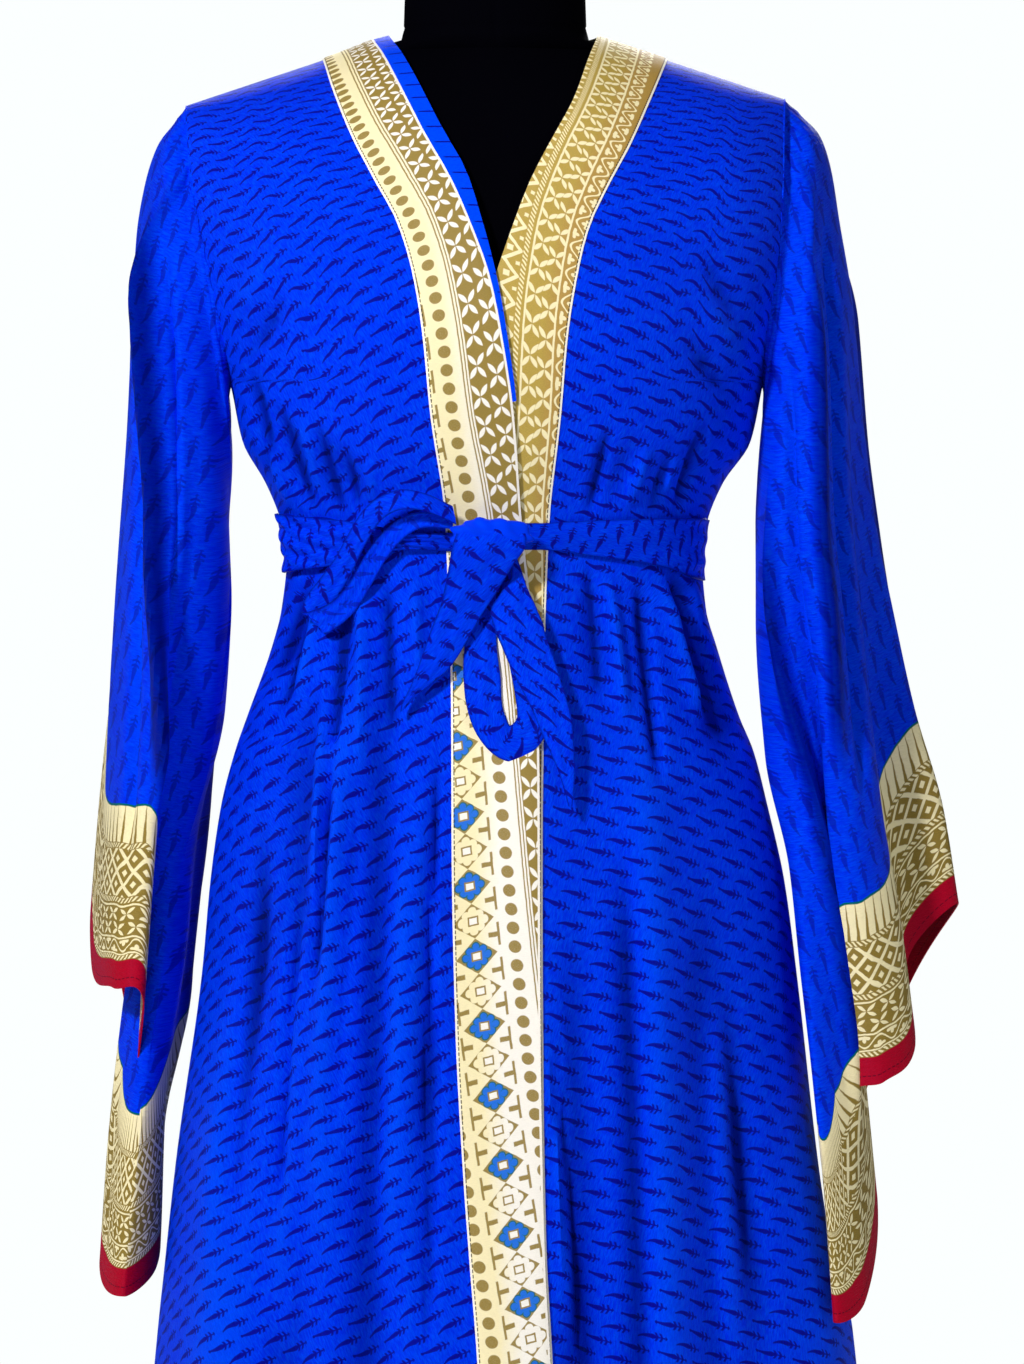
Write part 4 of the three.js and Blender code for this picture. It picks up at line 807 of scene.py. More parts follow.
def knot():
    """The bunched knot behind the broad tail: a rounded lump, pinched, with gathers round it."""
    turn, rise = np.meshgrid(np.arange(72) * 2 * np.pi / 72, np.linspace(-1, 1, 41)[1:-1] * np.pi / 2)
    x, y, z = np.cos(rise) * np.cos(turn), np.cos(rise) * np.sin(turn), np.sin(rise)
    gather = 1 + 0.06 * np.sin(9 * z + 3 * x) + 0.05 * np.sin(14 * x + 5 * z)
    middle = float(on_body(-1.0, 1068.0, "front", fine=0)[0][1]) - 18.0
    pinch = 1 - 0.12 * np.exp(-((x / 0.35) ** 2))
    return stack("knot_cloth", np.stack([
        -3 + 26 * x * gather, middle + 7.5 * y * pinch * gather, 1065 + 13 * z * pinch * gather,
    ], -1), sharp=80)


def form():
    """The dress form's torso and neck, as level rings inside the robe, with sewn seams as grooves."""
    angle = np.arange(144) * 2 * np.pi / 144
    z = np.concatenate([np.linspace(800, 1280, 90), np.linspace(1284, 1382, 50)])[:, None]
    inset = FORM_GAP + 6 * smooth((np.maximum(ridge(0) - z, 0) - 60) / 110)
    reach = NECK_X + (NECK_Z - inset - z) / SHOULDER_SLOPE
    half = np.minimum(along(FORM, "z", "half", z), reach)
    across, deep = np.sin(angle), -np.cos(angle)
    x = half * np.sign(across) * np.abs(across) ** (2 / BODY_ROUND)
    b = np.where(deep < 0, along(BODY, "z", "front", z), along(BODY, "z", "back", z)) - inset
    m = np.clip(1 - (ridge(x) - inset - z) / SHOULDER_ROLL, 0, 1)
    y = b * np.sign(deep) * np.abs(deep) ** (2 / BODY_ROUND) * np.sqrt(1 - m * m)
    groove = 1.1 * np.exp(-((x / 1.6) ** 2)) * smooth(np.abs(y) / 20)
    torso = np.stack([x, y - np.sign(y) * groove, z + 0 * x], -1)
    neck_z = np.concatenate([[1389, 1393], np.linspace(1397, 1438, 34)])[:, None]
    grow = np.interp(neck_z, [1389, 1393, 1397, 1400, 1438], [2, 1, 0.5, 0.3, -1])
    grow = grow - 1.1 * np.exp(-(((neck_z - 1396) / 1.4) ** 2))
    narrow = 1.1 * np.exp(-(((NECK_WIDE * across) / 1.6) ** 2))
    neck = np.stack([
        (NECK_WIDE + grow) * across, -(NECK_DEEP + grow - narrow) * np.cos(angle), neck_z + 0 * across,
    ], -1)
    return stack("form_cloth", np.concatenate([torso, neck]), sharp=60)


# ---- Shader arithmetic ----

def by(operation):
    """A method that adds one Math node."""
    return lambda value, *others: value.math(operation, *others)


class Value:
    """A node's output with arithmetic: every operator adds its own Math node. part is the fraction
    above the whole number below."""

    def __init__(self, shade, socket):
        self.shade, self.socket = shade, socket

    def math(self, operation, *others, clamp=False):
        return self.shade.node("ShaderNodeMath", {"operation": operation, "use_clamp": clamp},
                               {0: self, **{i + 1: other for i, other in enumerate(others)}})

    __add__, __mul__, __sub__, __truediv__ = by("ADD"), by("MULTIPLY"), by("SUBTRACT"), by("DIVIDE")
    __abs__, __radd__, __rmul__ = by("ABSOLUTE"), __add__, __mul__
    least, most, floor, sine = by("MINIMUM"), by("MAXIMUM"), by("FLOOR"), by("SINE")
    part = by("FRACT")

    def __rsub__(self, other):
        return self.shade.node("ShaderNodeMath", {"operation": "SUBTRACT"}, {0: other, 1: self})

    def __neg__(self):
        return self * -1.0

    def cell(self, pitch):
        """Signed distance from the middle of each cell of a row of equal cells."""
        return ((self / pitch).part() - 0.5) * pitch

    def line(self, at, half, soft=0.3):
        """A mask of a line at a distance."""
        return (self - at).within(half, soft)

    def square(self):
        return self * self

    def above(self, edge, soft=0.2):
        """A mask that is 1 where this is over an edge, with a narrow ramp."""
        return ((self - edge) * (1 / soft)).math("ADD", 0.5, clamp=True)

    def below(self, edge, soft=0.2):
        return ((self - edge) * (-1 / soft)).math("ADD", 0.5, clamp=True)

    def within(self, half, soft=0.2):
        """A mask that is 1 where the distance from 0 is under half."""
        return abs(self).below(half, soft)

    def between(self, low, high, soft=0.2):
        return (self - (low + high) / 2).within((high - low) / 2, soft)


class Shade:
    """A material's node tree, built by one method."""

    def __init__(self, name):
        self.material = bpy.data.materials.new(name)
        self.material.use_nodes = True
        self.tree = self.material.node_tree
        self.tree.nodes.clear()

    def node(self, kind, settings=None, values=None, output=0):
        """Any node: its settings are set first, then its sockets get values or links."""
        node = self.tree.nodes.new(kind)
        for key, value in (settings or {}).items():
            setattr(node, key, value)
        for key, value in (values or {}).items():
            if isinstance(value, Value):
                self.tree.links.new(value.socket, node.inputs[key])
            else:
                node.inputs[key].default_value = value
        return Value(self, node.outputs[output])

    def mix(self, mask, a, b):
        """Colour a where the mask is 0 and b where it is 1. Sockets 6 and 7 are the colour ones."""
        a, b = (colour if isinstance(colour, Value) else (*colour, 1) for colour in (a, b))
        return self.node("ShaderNodeMix", {"data_type": "RGBA"}, {0: mask, 6: a, 7: b}, output=2)

    def tint(self, colour, amount):
        """A colour made lighter or darker by a number."""
        return self.node("ShaderNodeVectorMath", {"operation": "SCALE"}, {0: colour, "Scale": amount})

    def cut(self, name="cut"):
        """The two print coordinates in millimetres, from the piece's own UV map."""
        uv = self.node("ShaderNodeUVMap", {"uv_map": name})
        x = self.node("ShaderNodeSeparateXYZ", None, {0: uv}, output=0)
        return x, Value(self, x.socket.node.outputs[1])

    def attribute(self, name):
        """A number that the mesh keeps on its points."""
        return self.node("ShaderNodeAttribute", {"attribute_name": name}, output=2)

    def vector(self, x, y):
        return self.node("ShaderNodeCombineXYZ", None, {0: x, 1: y})

    def noise(self, vector, scale=1.0, detail=2.0):
        return self.node("ShaderNodeTexNoise", None, {"Vector": vector, "Scale": scale, "Detail": detail})

    def rough(self, u, v, scale, reach):
        """A small wobble of the print's outlines, in millimetres."""
        return (self.noise(self.vector(u, v), scale) - 0.5) * reach

    def place(self):
        """Object coordinates in metres."""
        return self.node("ShaderNodeTexCoord", None, None, output=3)

    def finish(self, colour, roughness, height=None, depth=0.0003, **numbers):
        """The surface: a Principled shader with constant numbers on its own sockets."""
        values = {"Base Color": colour, "Roughness": roughness}
        values.update({key.replace("_", " "): value for key, value in numbers.items()})
        if height is not None:
            values["Normal"] = self.node(
                "ShaderNodeBump", None, {"Height": height, "Distance": depth, "Strength": 1.0})
        surface = self.node("ShaderNodeBsdfPrincipled", None, values)
        output = self.tree.nodes.new("ShaderNodeOutputMaterial")
        self.tree.links.new(surface.socket, output.inputs["Surface"])
        return self.material


def colours():
    """The colours that a user may change, as plain RGB."""
    kept = bpy.context.scene.robe_colours
    return {key: tuple(getattr(kept, key)) for key in kept.__annotations__}


TWIG_PITCH, TWIG_ROW, TWIG_LENGTH = 25.0, 10.0, 19.5


def twig(shade, along, across, shift):
    """The twig print, on axes along and across the twigs: rows of carrot-shaped tails, each with two
    pairs of barbs and a barbed tip. Tails bend down on even rows and end in a knob on odd ones."""
    along = along + (shade.noise(shade.vector(along, across), 0.035) - 0.5) * 4.0
    across = across + (shade.noise(shade.vector(across, along), 0.04) - 0.5) * 3.0
    row = (across / TWIG_ROW).floor()
    place = along / TWIG_PITCH + row * shift
    odd = (row * 0.5).part() * 2.0
    cell = shade.node("ShaderNodeTexWhiteNoise", {"noise_dimensions": "2D"},
                      {"Vector": shade.vector(place.floor(), row)})
    reach = place.part() * TWIG_PITCH - 1.0
    side = across - row * TWIG_ROW - TWIG_ROW / 2
    side = side - (reach - 10.0) * (cell - 0.5) * 0.12
    tail = (6.5 - reach).most(0.0)
    side = side + tail.square() * (0.045 - odd * 0.06)
    swell = (reach / 10.0).math("MULTIPLY", 1.0, clamp=True)
    swell = swell - ((reach - 9.8) / 2.8).math("MULTIPLY", 0.75, clamp=True)
    body = (abs(side) - swell * 1.25).below(0.45, 0.5) * reach.between(0.0, TWIG_LENGTH - 0.5, 0.5)
    barb = reach + abs(side) * 0.55 - (TWIG_LENGTH - 7.0)
    wide = 2.75 - ((reach - TWIG_LENGTH + 3.2) * 0.9).least(1.6).most(0.0)
    barbs = (barb / 3.1).part().below(0.5, 0.2) * barb.between(0.0, 7.0, 0.3)
    barbs = barbs * (abs(side) - wide).below(0.0, 0.7)
    knob = (side + 0.2).square() + (reach - 0.4).square()
    knob = knob.below(0.95, 0.5) * odd
    return body.most(barbs).most(knob)


def blue_print(shade, u, v, angle, shift, tone):
    """Colour and relief of the blue crepe: darker twigs, fine crinkles across them and slow mottling.
    The crinkles' colour is partly the crepe's own tone and partly painted light; the folds get painted
    shade in their troughs and a painted highlight on their ridges, and the belt's and bow's edges
    get painted shade.
    """
    c, s = math.cos(math.radians(angle)), math.sin(math.radians(angle))
    along, across = u * c + v * s, v * c - u * s
    inside = shade.attribute("inside")
    crinkle = shade.noise(shade.vector(along * 1.15, across * 0.16), 1.0, 3.0)
    fine = shade.noise(shade.vector(along * 3.1, across * 0.5), 1.0, 1.0)
    mottle = shade.noise(shade.vector(along, across), 0.018, 2.0)
    # The crinkles are partly the crepe's uneven tone and partly painted light: pale where they catch the
    # light, deep blue as painted shade between them.
    ground = shade.mix(crinkle.above(0.54, 0.24) * 0.7, tone["blue"], tone["pale"])
    ground = shade.mix(crinkle.below(0.44, 0.2) * 0.45, ground, tone["deep"])
    ground = shade.mix(mottle.above(0.5, 0.5) * 0.35, ground, tone["deep"])
    # Painted shade in the fold troughs and a painted highlight on the fold ridges.
    hollow = shade.attribute("hollow")
    ground = shade.mix(hollow.most(0.0) * 0.85, ground, tone["trough"])
    ground = shade.mix((-hollow).most(0.0) * 0.45, ground, tone["pale"])
    # Painted shade along the long edges of the belt and the bow.
    ground = shade.mix(shade.attribute("rim") * 0.8, ground, tone["trough"])
    # Fine streaks lighten and darken the ground: partly the crepe's tone and partly painted light of its
    # fine relief.
    ground = shade.tint(ground, 0.76 + fine * 0.42)
    ink = twig(shade, along, across, shift) * (1.0 - inside * 0.4)
    ink = ink * (0.86 + crinkle * 0.2).least(1.0)
    # The twigs darken to a painted shade deep in the folds.
    ink_tone = shade.mix(hollow.most(0.0), tone["navy"], tone["ink"])
    return shade.mix(ink, ground, ink_tone), crinkle + fine * 0.6


def silk(shade, colour, height):
    """Crepe silk: fairly smooth, with a blue-white sheen at grazing angles."""
    return shade.finish(colour, 0.5, height, 0.0006, Specular_IOR_Level=0.14,
                        Specular_Tint=(0.0, 0.4, 1, 1), Sheen_Weight=0.06, Sheen_Roughness=0.35,
                        Sheen_Tint=(0.0, 0.25, 1, 1))


def blue_cloth(name, angle, shift):
    """Blue crepe silk with the twig print at an angle to the cut."""
    shade = Shade(name)
    u, v = shade.cut()
    colour, height = blue_print(shade, u, v, angle, shift, colours())
    return silk(shade, colour, height)


def flowers(x, y, pitch, shift):
    """A column of four-petalled crosses about x = 0, each petal a lens on a diagonal."""
    x, y = abs(x), abs((y + shift * pitch).cell(pitch))
    size = pitch / 19.5
    far, off = (x * 0.55 + y * 0.835) / size, (x * 0.835 - y * 0.55) / size
    lens = 1.5 - ((far - 4.9) / 4.4).square() * 1.5
    return (abs(off) - lens).below(0.0, 0.5)


def rope(x, y, wide):
    """A twisted line: slanted strokes between two edges."""
    strokes = ((y + x * 0.9) / 3.3).part() - 0.5
    return strokes.within(0.24, 0.16) * x.between(0.2, wide - 0.2, 0.3)


def stitches(along, across, at, gap=3.4):
    """A dashed line of machine stitches."""
    return across.line(at, 0.33) * ((along / gap).part() - 0.5).within(0.34, 0.14)


def vine(off, run, pitch, foot, height, petal, swing, half):
    """A lotus vine: on a wavy stem, fans with petals at a radius of a |cos| of their angle, each second
    one upside down. foot is how far off the first fans stand, and height the room between both rows."""
    flip = (run.cell(pitch * 2) / (pitch * 2)).above(0.0, 0.02)
    step = run.cell(pitch)
    base = (off - foot - flip * height) * (1.0 - flip * 2.0)
    angle = step.math("ARCTAN2", base)
    edge = abs((angle * 2.6).math("COSINE")) * petal[0] + petal[1]
    fan = (circle(base, step, 0.0) - edge).below(0.0, 0.5) * abs(angle).below(1.45, 0.2)
    stem = abs(off - foot - height / 2 - (run * (math.pi / pitch)).sine() * swing).below(half, 0.4)
    return fan, stem


def worn_print(shade, u, v):
    """Where the bands' gold print is rubbed thin."""
    return shade.noise(shade.vector(u * 0.9, v * 2.6), 1.0, 2.0)


def sewn_band(shade, colour, u, v, tone):
    """A band's pale edge, its stitches, and the plain weave and slubs of its silk."""
    colour = shade.mix(u.line(0.6, 0.7), colour, tone["white"])
    colour = shade.mix(stitches(v, u, 1.7), colour, tone["black"])
    slub = shade.noise(shade.vector(u * 0.35, v * 1.9), 1.0, 3.0)
    thread = shade.noise(shade.vector(u * 2.2, v * 2.2), 1.0, 1.0)
    height = slub * 0.6 + thread * 0.5
    return shade.finish(shade.tint(colour, 0.84 + height * 0.3), 0.5, height, 0.0004,
                        Specular_IOR_Level=0.35)


def circle(x, y, radius):
    """Distance outside a circle."""
    return (x.square() + y.square()).math("SQRT") - radius


def right_print(name):
    """The right band: diamonds with flowers, ticks, dots, two fine lines, and crosses on olive."""
    shade, tone = Shade(name), colours()
    u, v = shade.cut()
    drift = 6.1 + (909.0 - v) * 0.0815 + (v - 1090.0).most(0.0) * 0.0455 + (v - 1310.0).most(0.0) * 0.015
    rough = shade.rough(u, v, 0.16, 1.3)
    o = u - drift + rough * 0.5
    step = (v - o * 0.22 + rough) / 22.5
    m = (step.part() - 0.5) * 22.5
    blue = (step.floor() * 0.5).part() * 2.0
    x, y = abs(o), abs(m)
    diamond = (x / 13.6 + y / 11.2).below(1.0, 0.05)
    flower = circle(x - 7.1, m, 2.4).least(circle(o, y - 6.3, 2.3))
    flower = flower.least(circle(x - 4.2, y - 3.8, 2.5)).least(circle(o, m, 5.6))
    box = (x - 2.5).most(y - 2.0)
    colour = shade.mix((u / 30.0 + rough * 0.12).below(0.75, 0.5), tone["white"], tone["cream"])
    tick = x.line(15.6, 0.8, 0.4) * m.line(11.2, 7.4, 0.5).most(m.line(-11.2, 7.4, 0.5))
    lens = y.line(11.2, 1.5, 0.5) * x.line(12.2, 3.4, 0.5)
    dots = circle(x - 25.2, v.cell(12.1), 4.05).below(0.0, 0.5)
    lines = o.line(35.4, 0.45).most(o.line(37.5, 0.4))
    gold = (diamond * flower.above(0.5, 0.4)).most(tick).most(lens).most(dots).most(lines)
    worn = worn_print(shade, u, v)
    colour = shade.mix(gold * (0.72 + worn * 0.5).least(1.0), colour, tone["olive"])
    colour = shade.mix(blue * diamond * flower.below(0.65, 0.4), colour, tone["teal"])
    colour = shade.mix(blue * flower.below(-0.15, 0.4), colour, tone["flower"])
    colour = shade.mix(box.below(1.0, 0.35) * flower.below(0.0, 0.3), colour, tone["olive"])
    colour = shade.mix(box.below(0.0, 0.35), colour, tone["white"])
    petals = flowers(o - 44.7, v, 19.5, 0.0).most(flowers(o - 56.8, v, 19.5, 0.36))
    olive = shade.tint(tone["olive"], 0.8 + worn * 0.45)
    colour = shade.mix(o.above(39.0, 0.4), colour, shade.mix(petals, olive, tone["white"]))
    colour = shade.mix(shade.attribute("edge").below(1.5, 0.4), colour, tone["white"])
    return sewn_band(shade, colour, u, v, tone)


def left_print(name):
    """The left band, from its free edge: a zigzag with squares, a rope, a line, two columns of
    crosses, a line, and a lotus vine."""
    shade, tone = Shade(name), colours()
    u, v = shade.cut()
    rough = shade.rough(u, v, 0.16, 1.3)
    o = 42.7 + (v - 1090.0).most(0.0) * 0.03 - (1090.0 - v).most(0.0) * 0.05 - u + rough * 0.5
    w = v + rough
    middle = abs((w / 18.0).part() - 0.5)
    wave = middle * 2.0
    zigzag = (o - (1.0 - wave) * 10.2).within(1.75, 0.5) * o.below(11.2, 0.4)
    square = abs(o - 3.0).most(middle * 18.0).below(2.0, 0.5)
    notch = abs(o - 9.3).most((wave - 1.0) * -9.0).below(1.3, 0.5)
    light = zigzag.most(square).most(notch).most(rope(o - 11.4, w, 3.6))
    light = light.most(o.line(17.3, 0.65)).most(o.line(37.2, 0.65))
    light = light.most(flowers(o - 22.6, w, 19.0, 0.0)).most(flowers(o - 32.2, w, 19.0, 0.4))
    fan, stem = vine(o, w, 11.0, 39.4, 8.4, (1.9, 2.7), 3.6, 0.75)
    light = light.most(fan * o.above(38.4, 0.3)).most(stem)
    ground = shade.mix((o - 33.0).above(0.0, 8.0) * 0.55, tone["gold"], tone["brown"])
    ground = shade.tint(ground, 0.8 + worn_print(shade, u, v) * 0.45)
    return sewn_band(shade, shade.mix(light, ground, tone["cream"]), u, v, tone)


def facing_cloth(name):
    """The plain blue inner face of the right band, with short dark ticks from its rolled edge."""
    shade, tone = Shade(name), colours()
    u, v = shade.cut()
    tick = ((v + u * 0.35) / 12.3).part() * 12.3
    tick = (tick - 6.0).within(0.55, 0.5) * u.above(2.5, 2.0)
    crinkle = shade.noise(shade.vector(u * 0.3, v * 1.3), 1.0, 3.0)
    # The pale crinkles are partly the crepe's tone and partly painted highlight.
    ground = shade.mix(crinkle, tone["blue"], tone["pale"])
    return silk(shade, shade.mix(tick, ground, tone["navy"]), crinkle)


def sleeve_cloth(name):
    """Sleeve silk: twigs above, then the border, by distance off the hem: fingers, a rope, a lattice
    of squares, a rope, crosses, a lotus vine, a rope and the red hem."""
    shade, tone = Shade(name), colours()
    u, v = shade.cut()
    rough = shade.rough(u, v, 0.14, 1.4)
    place, far = shade.cut("hem")
    d, x = far + rough, place + rough
    colour, crepe = blue_print(shade, u, v, 106.0, 0.45, tone)
    colour = shade.mix(d.line(BORDER + 0.6, 0.8, 0.5), colour, tone["teal"])
    finger = (abs(x.cell(6.6)) - 3.15 + (BORDER - d) * 0.045).above(0.0, 0.5)
    light = d.between(93.5, BORDER, 0.5) * (1.0 - finger)
    a, b = (abs(((x + way) / 16.6).part() - 0.5) * 11.7 for way in (d, -d))
    lattice = a.most(b).above(4.65, 0.4).most(a.most(b).below(1.75, 0.4))
    light = light.most(lattice * d.between(59.0, 89.3, 0.4))
    for at, wide in ((89.6, 3.6), (55.0, 3.6), (18.3, 3.2)):
        light = light.most(rope(d - at, x, wide))
    for at, half in ((53.2, 0.6), (32.6, 0.6), (22.2, 0.5)):
        light = light.most(d.line(at, half))
    crosses = flowers(d - 47.6, x, 15.0, 0.0).most(flowers(d - 38.4, x, 15.0, 0.5))
    light = light.most(crosses * d.between(33.2, 52.6, 0.4))
    fan, stem = vine(d, x, 9.5, 23.4, 8.0, (1.8, 2.4), 3.4, 0.6)
    light = light.most(fan.most(stem) * d.between(22.8, 32.0, 0.3))
    worn = shade.noise(shade.vector(u * 1.6, v * 1.6), 1.0, 2.0)
    border = shade.mix(light, shade.tint(tone["olive"], 0.75 + worn * 0.45), tone["cream"])
    colour = shade.mix(d.below(BORDER, 0.5), colour, border)
    red = shade.tint(tone["red"], 0.75 + worn * 0.5)
    red = shade.mix(stitches(x, far, 6.0, 3.2), red, tone["maroon"])
    return silk(shade, shade.mix(far.below(RED_HEM, 0.4), colour, red), crepe)


def plain(name, colour, roughness, scale=900.0, **numbers):
    """A plain cover with fine grain in its colour, roughness and relief."""
    shade = Shade(name)
    grain = shade.noise(shade.place(), scale, 3.0)
    patch = shade.noise(shade.place(), 9.0, 2.0)
    tint = shade.tint(colour, 0.6 + grain * 0.5 + patch * 0.3)
    return shade.finish(tint, (patch - 0.5) * 0.2 + roughness, grain, 0.0002, **numbers)


# ---- Sizes and colours that a user may change ----

def length(label, words, default):
    return FloatProperty(name=label, description=words, default=default, min=0.0, unit="LENGTH")


def colour(label, words, default):
    return FloatVectorProperty(name=label, description=words, default=default, size=3, subtype="COLOR",
                               min=0.0, max=1.0)


class RobeSizes(PropertyGroup):
    cloth: length("Cloth", "Thickness of one layer of cloth", 0.0009)
    belt: length("Belt", "Thickness of the doubled belt", 0.0016)
    band_lift: length("Band", "How far the doubled front bands stand off the body", 0.0013)
    crossing: length("Crossing", "How far the right front stands off the left one", 0.0036)


class RobeColours(PropertyGroup):
    blue: colour("Blue", "The silk's ground", (0.0, 0.034, 0.95))
    # Pale blue is painted highlight: on crinkles that catch the light and on fold ridges.
    pale: colour("Pale blue", "Crinkles that catch the light", (0.0, 0.0884, 1.0))
    # Deep blue is both the ground's uneven mottled tone and painted shade between crinkles.
    deep: colour("Deep blue", "Darker patches of the ground", (0.0, 0.0136, 0.76))
    # Trough blue is painted shade: the ground deep in the folds and along the belt's and bow's edges.
    trough: colour("Trough blue", "The ground deep in the folds", (0.0, 0.001, 0.2))
    navy: colour("Navy", "The twig print", (0.003, 0.0, 0.28))
    # Dark navy is the twig print in painted shade deep in the folds.
    ink: colour("Dark navy", "The twig print deep in the folds", (0.001, 0.0, 0.09))
    cream: colour("Cream", "Light print of the bands and borders", (0.97, 0.9, 0.52))
    white: colour("White", "Palest ground and edges", (0.98, 0.98, 0.86))
    olive: colour("Olive", "Olive gold of the right band and the borders", (0.3, 0.215, 0.035))
    gold: colour("Gold", "Yellow gold of the left band", (0.48, 0.35, 0.06))
    brown: colour("Brown", "Browner gold under the vine", (0.44, 0.25, 0.06))
    flower: colour("Flower blue", "The flowers in the diamonds", (0.0, 0.16, 0.75))
    teal: colour("Teal", "The flowers' outline", (0.0, 0.13, 0.13))
    red: colour("Red", "The sleeve hems", (0.42, 0.0, 0.014))
    maroon: colour("Maroon", "Stitching on the red hems", (0.12, 0.0, 0.008))
    black: colour("Black", "The dress form's cover and the topstitching", (0.0006, 0.0006, 0.0018))
    metal: colour("Metal", "The stand", (0.015, 0.015, 0.017))


def settle(piece, material, slot, *nodes, with_pieces=()):
    """Gives a piece its material, parents it to the root empty and hides the frame's parts that it stands
    for.
    """
    piece.data.materials.append(material)
    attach(piece, "root")
    if nodes:
        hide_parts(*nodes)
    return piece


class RobeForm(Operator):
    """Builds the dress form's torso, neck cap, pole and base"""
    bl_idname = "robe.form"
    bl_label = "Dress form and stand"

    def execute(self, context):
        tone = colours()
        cover = plain("black cover", tone["black"], 0.9, Specular_IOR_Level=0.01)
        steel = plain("black steel", tone["metal"], 0.35, Metallic=0.6)
        settle(form(), cover, "form_cloth", "form_torso")
        cap = turned("neck_cap", [(50, 1438.3), (52, 1440), (52, 1445), (50.5, 1449), (46, 1452),
                                  (0.5, 1452.2)])
        settle(cap, plain("black cap", tone["black"], 0.5), "form_cap", "form_neck_cap")
        pole = turned("pole", [(12, 14.3), (12, 799.7)], 48)
        settle(pole, steel, "stand_metal", "stand_pole")
        base = turned("base", [(148, 0), (150, 2), (150, 8), (148, 12), (144, 14), (1, 14)])
        settle(base, steel, "stand_metal", "stand_base")
        return {"FINISHED"}


class RobePanels(Operator):
    """Builds the robe's back and its two fronts"""
    bl_idname = "robe.panels"
    bl_label = "Back and fronts"

    def execute(self, context):
        settle(back_panel(), blue_cloth("blue silk, back", 22, 0.41), "blue_silk", "robe_back")
        for name, angle, shift in (("right", 24, 0.41), ("left", -15, -0.45)):
            settle(front_panel(name), blue_cloth(f"blue silk, {name} front", angle, shift), "blue_silk",
                   f"robe_front_{name}")
        return {"FINISHED"}


class RobeBands(Operator):
    """Builds the printed front bands and the rolled neck edge"""
    bl_idname = "robe.bands"
    bl_label = "Front bands"

    def execute(self, context):
        settle(band("right"), right_print("olive print"), "olive_border", "band_right")
        settle(band("left"), left_print("gold print"), "gold_border", "band_left")
        settle(band_underside(), facing_cloth("blue silk, facing"), "blue_silk", "band_right_underside")
        return {"FINISHED"}


class RobeSleeves(Operator):
    """Builds the two bell sleeves with their printed borders and red hems"""
    bl_idname = "robe.sleeves"
    bl_label = "Sleeves"

    def execute(self, context):
        for name in ("right", "left"):
            settle(sleeve(name), sleeve_cloth(f"bordered silk, {name}"), "bordered_silk", f"sleeve_{name}")
        return {"FINISHED"}


class RobeBelt(Operator):
    """Builds the belt, its knot, loops and tails"""
    bl_idname = "robe.belt"
    bl_label = "Belt and bow"

    def execute(self, context):
        cloth = blue_cloth("blue silk, belt", 79, 0.45)
        for name in ("right", "left"):
            settle(tie(name), cloth, "blue_silk", f"tie_{name}")
        cloth = blue_cloth("blue silk, bow", 212, 0.45)
        middle = settle(knot(), cloth, "blue_silk", "bow_knot")
        for name in RIBBONS:
            along_with = (middle,) if name == "bow_tail_broad" else ()
            settle(ribbon(name), cloth, "blue_silk", name, with_pieces=along_with)
        return {"FINISHED"}


def studio_world():
    """A white background, and a much dimmer light of its own on the robe."""
    world = bpy.data.worlds.new("studio")
    world.use_nodes = True
    tree = world.node_tree
    tree.nodes.clear()
    seen, lit = (tree.nodes.new("ShaderNodeBackground") for _ in range(2))
    seen.inputs[0].default_value, seen.inputs[1].default_value = (0.97, 1, 1, 1), 1.0
    lit.inputs[0].default_value, lit.inputs[1].default_value = (0.9, 0.95, 1, 1), 0.1
    path = tree.nodes.new("ShaderNodeLightPath")
    either = tree.nodes.new("ShaderNodeMixShader")
    output = tree.nodes.new("ShaderNodeOutputWorld")
    tree.links.new(path.outputs["Is Camera Ray"], either.inputs[0])
    tree.links.new(lit.outputs[0], either.inputs[1])
    tree.links.new(seen.outputs[0], either.inputs[2])
    tree.links.new(either.outputs[0], output.inputs[0])
    return world


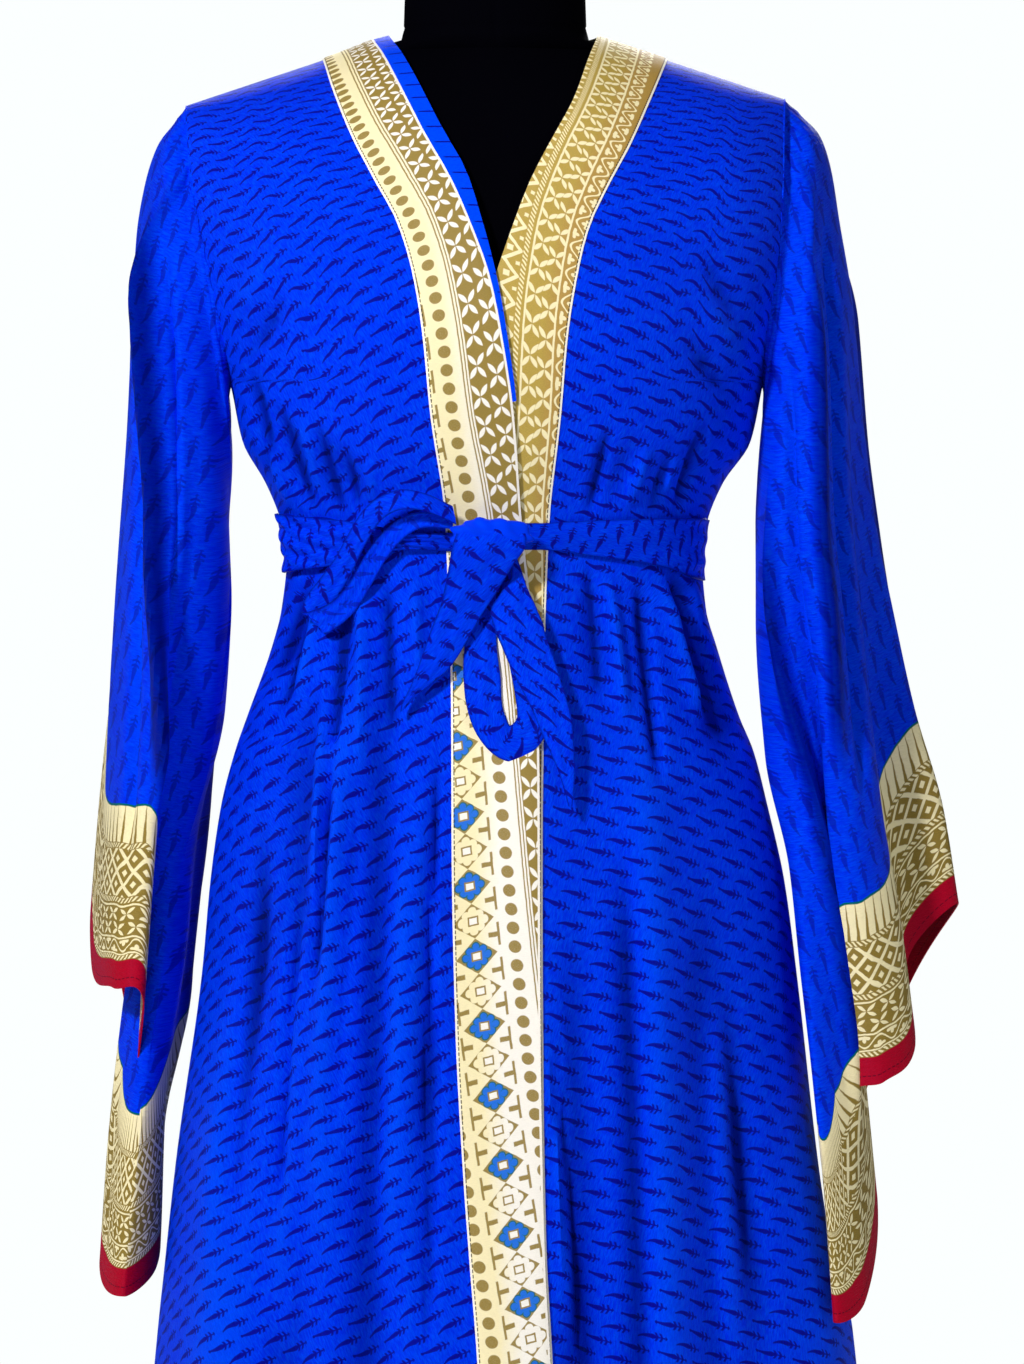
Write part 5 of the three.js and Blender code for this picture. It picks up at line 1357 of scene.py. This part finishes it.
class RobeStage(Operator):
    """Lays the floor and sets the lights and the camera"""
    bl_idname = "robe.stage"
    bl_label = "Stage"

    def execute(self, context):
        scene = context.scene
        floor = bpy.data.meshes.new("floor")
        floor.from_pydata([(-9, -9, 0), (9, -9, 0), (9, 9, 0), (-9, 9, 0)], [], [(0, 1, 2, 3)])
        ground = bpy.data.objects.new("floor", floor)
        scene.collection.objects.link(ground)
        floor.materials.append(plain("pale floor", (0.86, 0.87, 0.88), 0.8, 40.0, Emission_Strength=0.1,
                                     Emission_Color=(0.9, 0.93, 0.95, 1), Specular_IOR_Level=0.1))
        scene.world = studio_world()
        for name, place, size, power, tone in (
            ("key", (-1.5, -2.4, 2.7), 0.35, 98, (1, 0.93, 0.95)),
            ("fill", (2.6, -2.6, 1.9), 0.7, 17, (1, 0.93, 0.95)),
            ("left rim", (-2.8, 0.4, 1.6), 1.0, 4, (1, 1, 1)),
            ("right rim", (2.8, 0.4, 1.8), 1.0, 4, (1, 1, 1)),
            ("back", (0.3, 3.2, 2.6), 1.4, 70, (1, 1, 1)),
        ):
            light = bpy.data.lights.new(name, "AREA")
            light.size, light.energy, light.color = size, power, tone
            lamp = bpy.data.objects.new(name, light)
            scene.collection.objects.link(lamp)
            lamp.location = place
            lamp.rotation_euler = (Vector((0, 0, 1)) - Vector(place)).to_track_quat("-Z", "Y").to_euler()
        camera = bpy.data.cameras.new("camera")
        distance, robe_front, picture_height = 9.0, 0.07, 0.8798
        camera.lens = camera.sensor_width * (distance - robe_front) / picture_height
        eye = bpy.data.objects.new("camera", camera)
        scene.collection.objects.link(eye)
        eye.location = (0.011, -distance, 0.972)
        eye.rotation_euler = (math.pi / 2, 0, 0)
        scene.camera = eye
        scene.view_settings.view_transform = "Standard"
        return {"FINISHED"}


OPERATORS = (RobeForm, RobePanels, RobeBands, RobeSleeves, RobeBelt, RobeStage)


class RobePanel(Panel):
    """Lists the steps that build the robe, in the 3D view's sidebar"""
    bl_idname = "VIEW3D_PT_robe"
    bl_label = "Kimono robe"
    bl_space_type = "VIEW_3D"
    bl_region_type = "UI"
    bl_category = "Robe"

    def draw(self, context):
        for group in (context.scene.robe_sizes, context.scene.robe_colours):
            for key in group.__annotations__:
                self.layout.prop(group, key)
        for operator in OPERATORS:
            self.layout.operator(operator.bl_idname)


CLASSES = (RobeSizes, RobeColours, *OPERATORS, RobePanel)


def register():
    for kind in CLASSES:
        bpy.utils.register_class(kind)
    bpy.types.Scene.robe_sizes = PointerProperty(type=RobeSizes)
    bpy.types.Scene.robe_colours = PointerProperty(type=RobeColours)


def unregister():
    del bpy.types.Scene.robe_sizes, bpy.types.Scene.robe_colours
    for kind in reversed(CLASSES):
        bpy.utils.unregister_class(kind)


def main():
    """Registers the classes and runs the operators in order."""
    register()
    for operator in OPERATORS:
        group, step = operator.bl_idname.split(".")
        getattr(getattr(bpy.ops, group), step)()


if __name__ == "__main__":
    main()
